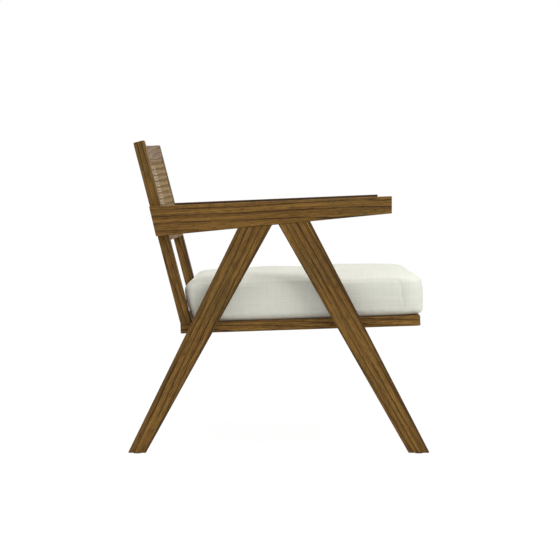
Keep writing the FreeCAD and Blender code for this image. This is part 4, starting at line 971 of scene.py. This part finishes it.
def reed(name, board, seed):
    """Split reed pressed into a groove: fibres along it, a glossy skin, and glue that has darkened."""
    made, shader = material(name)
    own = shader.on_board(board)
    fibre = shader.noise(own, (9, 1100, 1100), seed, 3.0, 0.6)
    blotch = shader.noise(own, (22, 60, 60), seed + 1, 3.0)
    joint = shader.ramp(shader.noise(own, (34, 8, 8), seed + 2, 1.0), 0.66, 0.74)
    colour = shader.layered(
        shader.mix(shader.ramp(fibre, 0.35, 0.66), (136, 102, 58), (170, 134, 84)),
        (shader.ramp(blotch, 0.46, 0.70) * 0.6, (112, 80, 42)),
        (joint * 0.5, (84, 58, 30)))
    shader.surface(colour, 0.42 + fibre * 0.22, shader.bump(fibre * 0.8 - joint * 0.3, 0.00015, 0.8))
    return made


def metal(name, tones, seed, rough):
    """Turned and plated metal: a cloudy plating, small dull spots and the tool's fine lines."""
    made, shader = material(name)
    here = shader.here()
    cloud = shader.noise(here, (130, 130, 130), seed, 3.0)
    spots = shader.ramp(shader.noise(here, (700, 700, 700), seed + 1), 0.62, 0.72)
    lines = shader.noise(here, (300, 4200, 300), seed + 2)
    colour = shader.mix(spots * 0.5, shader.mix(shader.ramp(cloud, 0.30, 0.72), *tones), tones[1])
    shader.surface(colour, rough + cloud * 0.16 + spots * 0.20 + lines * 0.08,
                   shader.bump(lines * 0.4 + cloud * 0.3 - spots * 0.5, 0.00006, 0.7),
                   Metallic=1.0 - spots * 0.25)
    return made


def nylon(name, seed):
    """A dark nylon glide, rubbed pale and scratched near the floor, with a fine moulded grain."""
    made, shader = material(name)
    here = shader.here()
    height = shader.parts(here)[2]
    grain = shader.noise(here, (1900, 1900, 1900), seed)
    cloud = shader.noise(here, (120, 120, 120), seed + 1, 3.0)
    scratch = shader.ramp(shader.noise(here, (90, 1600, 900), seed + 2), 0.60, 0.70)
    rubbed = (1 - shader.ramp(height + (cloud - 0.5) * 0.004, 0.0006, 0.0030)) * 0.7
    colour = shader.mix(shader.ramp(cloud, 0.35, 0.70), (46, 40, 34), (62, 55, 47))
    colour = shader.mix(rubbed * 0.5 + scratch * 0.35, colour, (118, 108, 96))
    shader.surface(colour, 0.52 + grain * 0.18 + scratch * 0.15 - rubbed * 0.1,
                   shader.bump(grain * 0.7 + scratch * 0.4, 0.00006, 0.8))
    return made


def pegs(name, axes, seed, ring, pith):
    """Put pale timber on a node of tenons or dowels."""
    dress(name, timber(f"{name}_timber", unworn(name, axes), seed, PALE, ring, pith))


for place, axes, seed in (("top", BACK_RAIL_AXES, 5), ("bottom", BACK_RAIL_AXES, 8),
                          ("right", STILE_AXES, 13), ("left", STILE_AXES, 16)):
    spline = f"cane_spline_{place}"
    dress(spline, reed(f"{spline}_reed", unworn(spline, axes), seed))
for number, (side, _) in enumerate(SIDES):
    pegs(f"{side}_arm_dowels", upright_axes(math.pi / 2), 101 + number, 0.004, (0.011, 0.02))
    for end in ("rear", "front"):
        glide = f"{side}_{end}_glide"
        dress(glide, nylon(f"{glide}_nylon", 3 + 2.3 * number + len(end)))
pegs("stile_foot_dowels", STILE_AXES, 107, 0.004, (0.012, 0.01))
pegs("back_rail_tenons", BACK_RAIL_AXES, 113, 0.006, (0.010, 0.014))
pegs("seat_rail_tenons", SEAT_RAIL_AXES, 117, 0.006, (0.010, 0.014))
for number, node in enumerate(("leg_bolts", "arm_bolts", "slat_screws")):
    dress(node, metal(f"{node}_steel", STEEL, 21 + 3 * number, 0.26 + 0.03 * number))
for number, node in enumerate(("leg_inserts", "arm_inserts")):
    dress(node, metal(f"{node}_brass", BRASS, 41 + 3 * number, 0.30))


# The zip

TAPE_HALF_THICKNESS = 0.00035
TAPE_FACE = zip_low[0] + 0.0011
RIDGE_PLACE, RIDGE_WIDTH, RIDGE_SHARE = 0.0026, 0.0007, 1.1
# The tape's waves along the zip: height, radians for each metre, and start
TAPE_WAVES = ((0.00022, 71, 0), (0.00012, 190, 1))
TEETH_PITCH = 0.0026
TEETH_ENDS = 0.006
TOOTH_ROOT, TOOTH_HALF_LENGTH, TOOTH_HALF_HEIGHT = 0.0021, 0.00135, 0.00075
# A tooth's profile from its root to its head: the place along it, and the share of its width
TOOTH_SHARES = np.array([(-1.0, 0.40), (-0.55, 0.50), (0.25, 0.50), (0.62, 0.30), (1.0, 0.24)])


def zip_tape():
    """The two halves of the tape, as one strip whose section is a thin bar with rounded edges and a
    ridge beside the teeth: thickness = t (1 + 1.1 e ^ (-((|z| - 2.6 mm) / 0.7 mm) ^ 2))."""
    across = np.linspace(-1, 1, 31) * (zip_high[2] - zip_low[2]) / 2
    ridge = np.exp(-((np.abs(across) - RIDGE_PLACE) / RIDGE_WIDTH) ** 2)
    thick = TAPE_HALF_THICKNESS * (1 + RIDGE_SHARE * ridge)
    thick[[0, -1]] *= 0.3
    section = np.concatenate([vectors(-thick, across), vectors(thick * 0.4, across)[::-1]])
    along = np.linspace(zip_low[1], zip_high[1], 260)
    wave = sum(height * np.sin(along * turn + start) for height, turn, start in TAPE_WAVES)
    depth = TAPE_FACE + section[:, 0] + wave[:, None] * (section[:, 1] / across[-1]) ** 2
    points = vectors(depth, along[:, None], ZIP_MIDDLE + section[:, 1])
    return tubes("zip_tape", BACK.out(points[None]))


def zip_teeth(name, sign):
    """A row of moulded teeth that meshes with the other: each is a bar, waisted before its head, with
    a section of eight points, |a| ^ 4 + |b| ^ 4 = 1, whose width along the zip follows the profile."""
    turn = (np.arange(8) + 0.5) * math.pi / 4
    round_a = np.sign(np.cos(turn)) * np.abs(np.cos(turn)) ** 0.5
    round_b = np.sign(np.sin(turn)) * np.abs(np.sin(turn)) ** 0.5
    count = int((zip_high[1] - zip_low[1] - TEETH_ENDS) / TEETH_PITCH)
    start = (np.arange(count) - count / 2 + 0.25 * (1 + sign)) * TEETH_PITCH
    reach = TOOTH_ROOT - (TOOTH_SHARES[:, 0] + 1) * TOOTH_HALF_LENGTH
    depth = TAPE_FACE - 0.0003 + round_a * TOOTH_HALF_HEIGHT
    width = TOOTH_SHARES[:, 1, None] * round_b * TEETH_PITCH * 0.86
    points = vectors(depth, width + start[:, None, None], ZIP_MIDDLE + sign * reach[:, None])
    return tubes(name, BACK.out(points))


# The pull's body, bridge and tab: depths from the slider's face, half sizes and corners
BODY_DEPTH, BODY_HALF, BODY_CORNER, BODY_CROWN = 0.0017, 0.0007, 0.0016, 0.0002
BRIDGE_DEPTH, BRIDGE_HALF, BRIDGE_HALF_HEIGHT, BRIDGE_CORNER = 0.0009, 0.00045, 0.0011, 0.0009
TAB_HALF, TAB_HALF_WIDTH, TAB_CORNER, TAB_ASIDE, TAB_HANG = 0.0004, 0.0019, 0.0014, 0.0002, 0.0010


def slab(middle, half, corner, crown=0.0):
    """A grid of points round a flat plate: its outline is a rounded rectangle in the plane of the
    zip, its edge is a half round, and crown lifts its middle. Rows go from one face to the other."""
    turn = np.linspace(0, 2 * math.pi, 32, endpoint=False)
    square = vectors(np.cos(turn), np.sin(turn))
    core = np.array([half[1], half[2]]) - corner
    edge = np.pad(np.linspace(-math.pi / 2, math.pi / 2, 7), 2, mode="edge")
    shares = np.concatenate([[0.02, 0.5], np.ones(7), [0.5, 0.02]])
    depth, inset = np.sin(edge), half[0] * (1 - np.cos(edge))
    flat = np.sign(square) * np.minimum(np.abs(square) * 1.42, 1) * core
    across, up = ((flat + square * (corner - inset)[:, None, None]) * shares[:, None, None]).T
    depth = depth * half[0] - crown * (1 - shares ** 2) * (depth < 0)
    return vectors(middle[0] + depth[:, None], middle[1] + across.T, middle[2] + up.T)


def zip_pull():
    """The slider: a body over the teeth, a bridge on it, and a pull tab that hangs from the bridge."""
    slider_low, slider_high = BACK.extent("zip_slider")
    face = slider_low[0]
    _, across, up = (slider_low + slider_high) / 2
    _, half_width, half_height = (slider_high - slider_low) / 2
    body = slab((face + BODY_DEPTH, across, up), (BODY_HALF, half_width, half_height), BODY_CORNER,
                BODY_CROWN)
    bridge = slab((face + BRIDGE_DEPTH, across, up), (BRIDGE_HALF, half_width * 0.62, BRIDGE_HALF_HEIGHT),
                  BRIDGE_CORNER)
    tab = slab((face + TAB_HALF, across + TAB_ASIDE, up - TAB_HANG),
               (TAB_HALF, TAB_HALF_WIDTH, half_height * 0.72), TAB_CORNER)
    return tubes("zip_pull", BACK.out(np.stack([body, bridge, tab])))


def twill(name):
    """Woven tape: ribs that run on the slant, a sine of the place along and across it."""
    made, shader = material(name)
    own = shader.on_board(Board(BACK.out((TAPE_FACE, 0, ZIP_MIDDLE)), BACK_RAIL_AXES, 1, 1))
    along, _, across = shader.parts(own)
    rib = ((along + across * 0.8) * (2 * math.pi / 0.0011)).apply("SINE") * 0.5 + 0.5
    fuzz = shader.noise(own, (1500, 1500, 1500), 2)
    cloud = shader.noise(own, (30, 80, 80), 3, 3.0)
    colour = shader.mix(rib * 0.5 + fuzz * 0.4, (196, 190, 174), (226, 222, 208))
    colour = shader.mix(shader.ramp(cloud, 0.45, 0.72) * 0.35, colour, (184, 176, 158))
    shader.surface(colour, 0.78 + fuzz * 0.14, shader.bump(rib * 0.7 + fuzz * 0.5, 0.00014, 0.7),
                   Specular_IOR_Level=0.25)
    return made


finish_piece(zip_tape(), twill("zip_twill"), "cushion", "zip_tape", "cushion_zip")
teeth_finish = metal("zip_teeth_metal", TEETH_METAL, 61, 0.30)
for name, sign in (("zip_teeth_lower", -1), ("zip_teeth_upper", 1)):
    finish_piece(zip_teeth(name, sign), teeth_finish, "cushion", "zip_tape", "cushion_zip")
pull_finish = metal("zip_pull_metal", STEEL, 67, 0.24)
finish_piece(zip_pull(), pull_finish, "zip_slider", "zip_metal", "zip_slider")
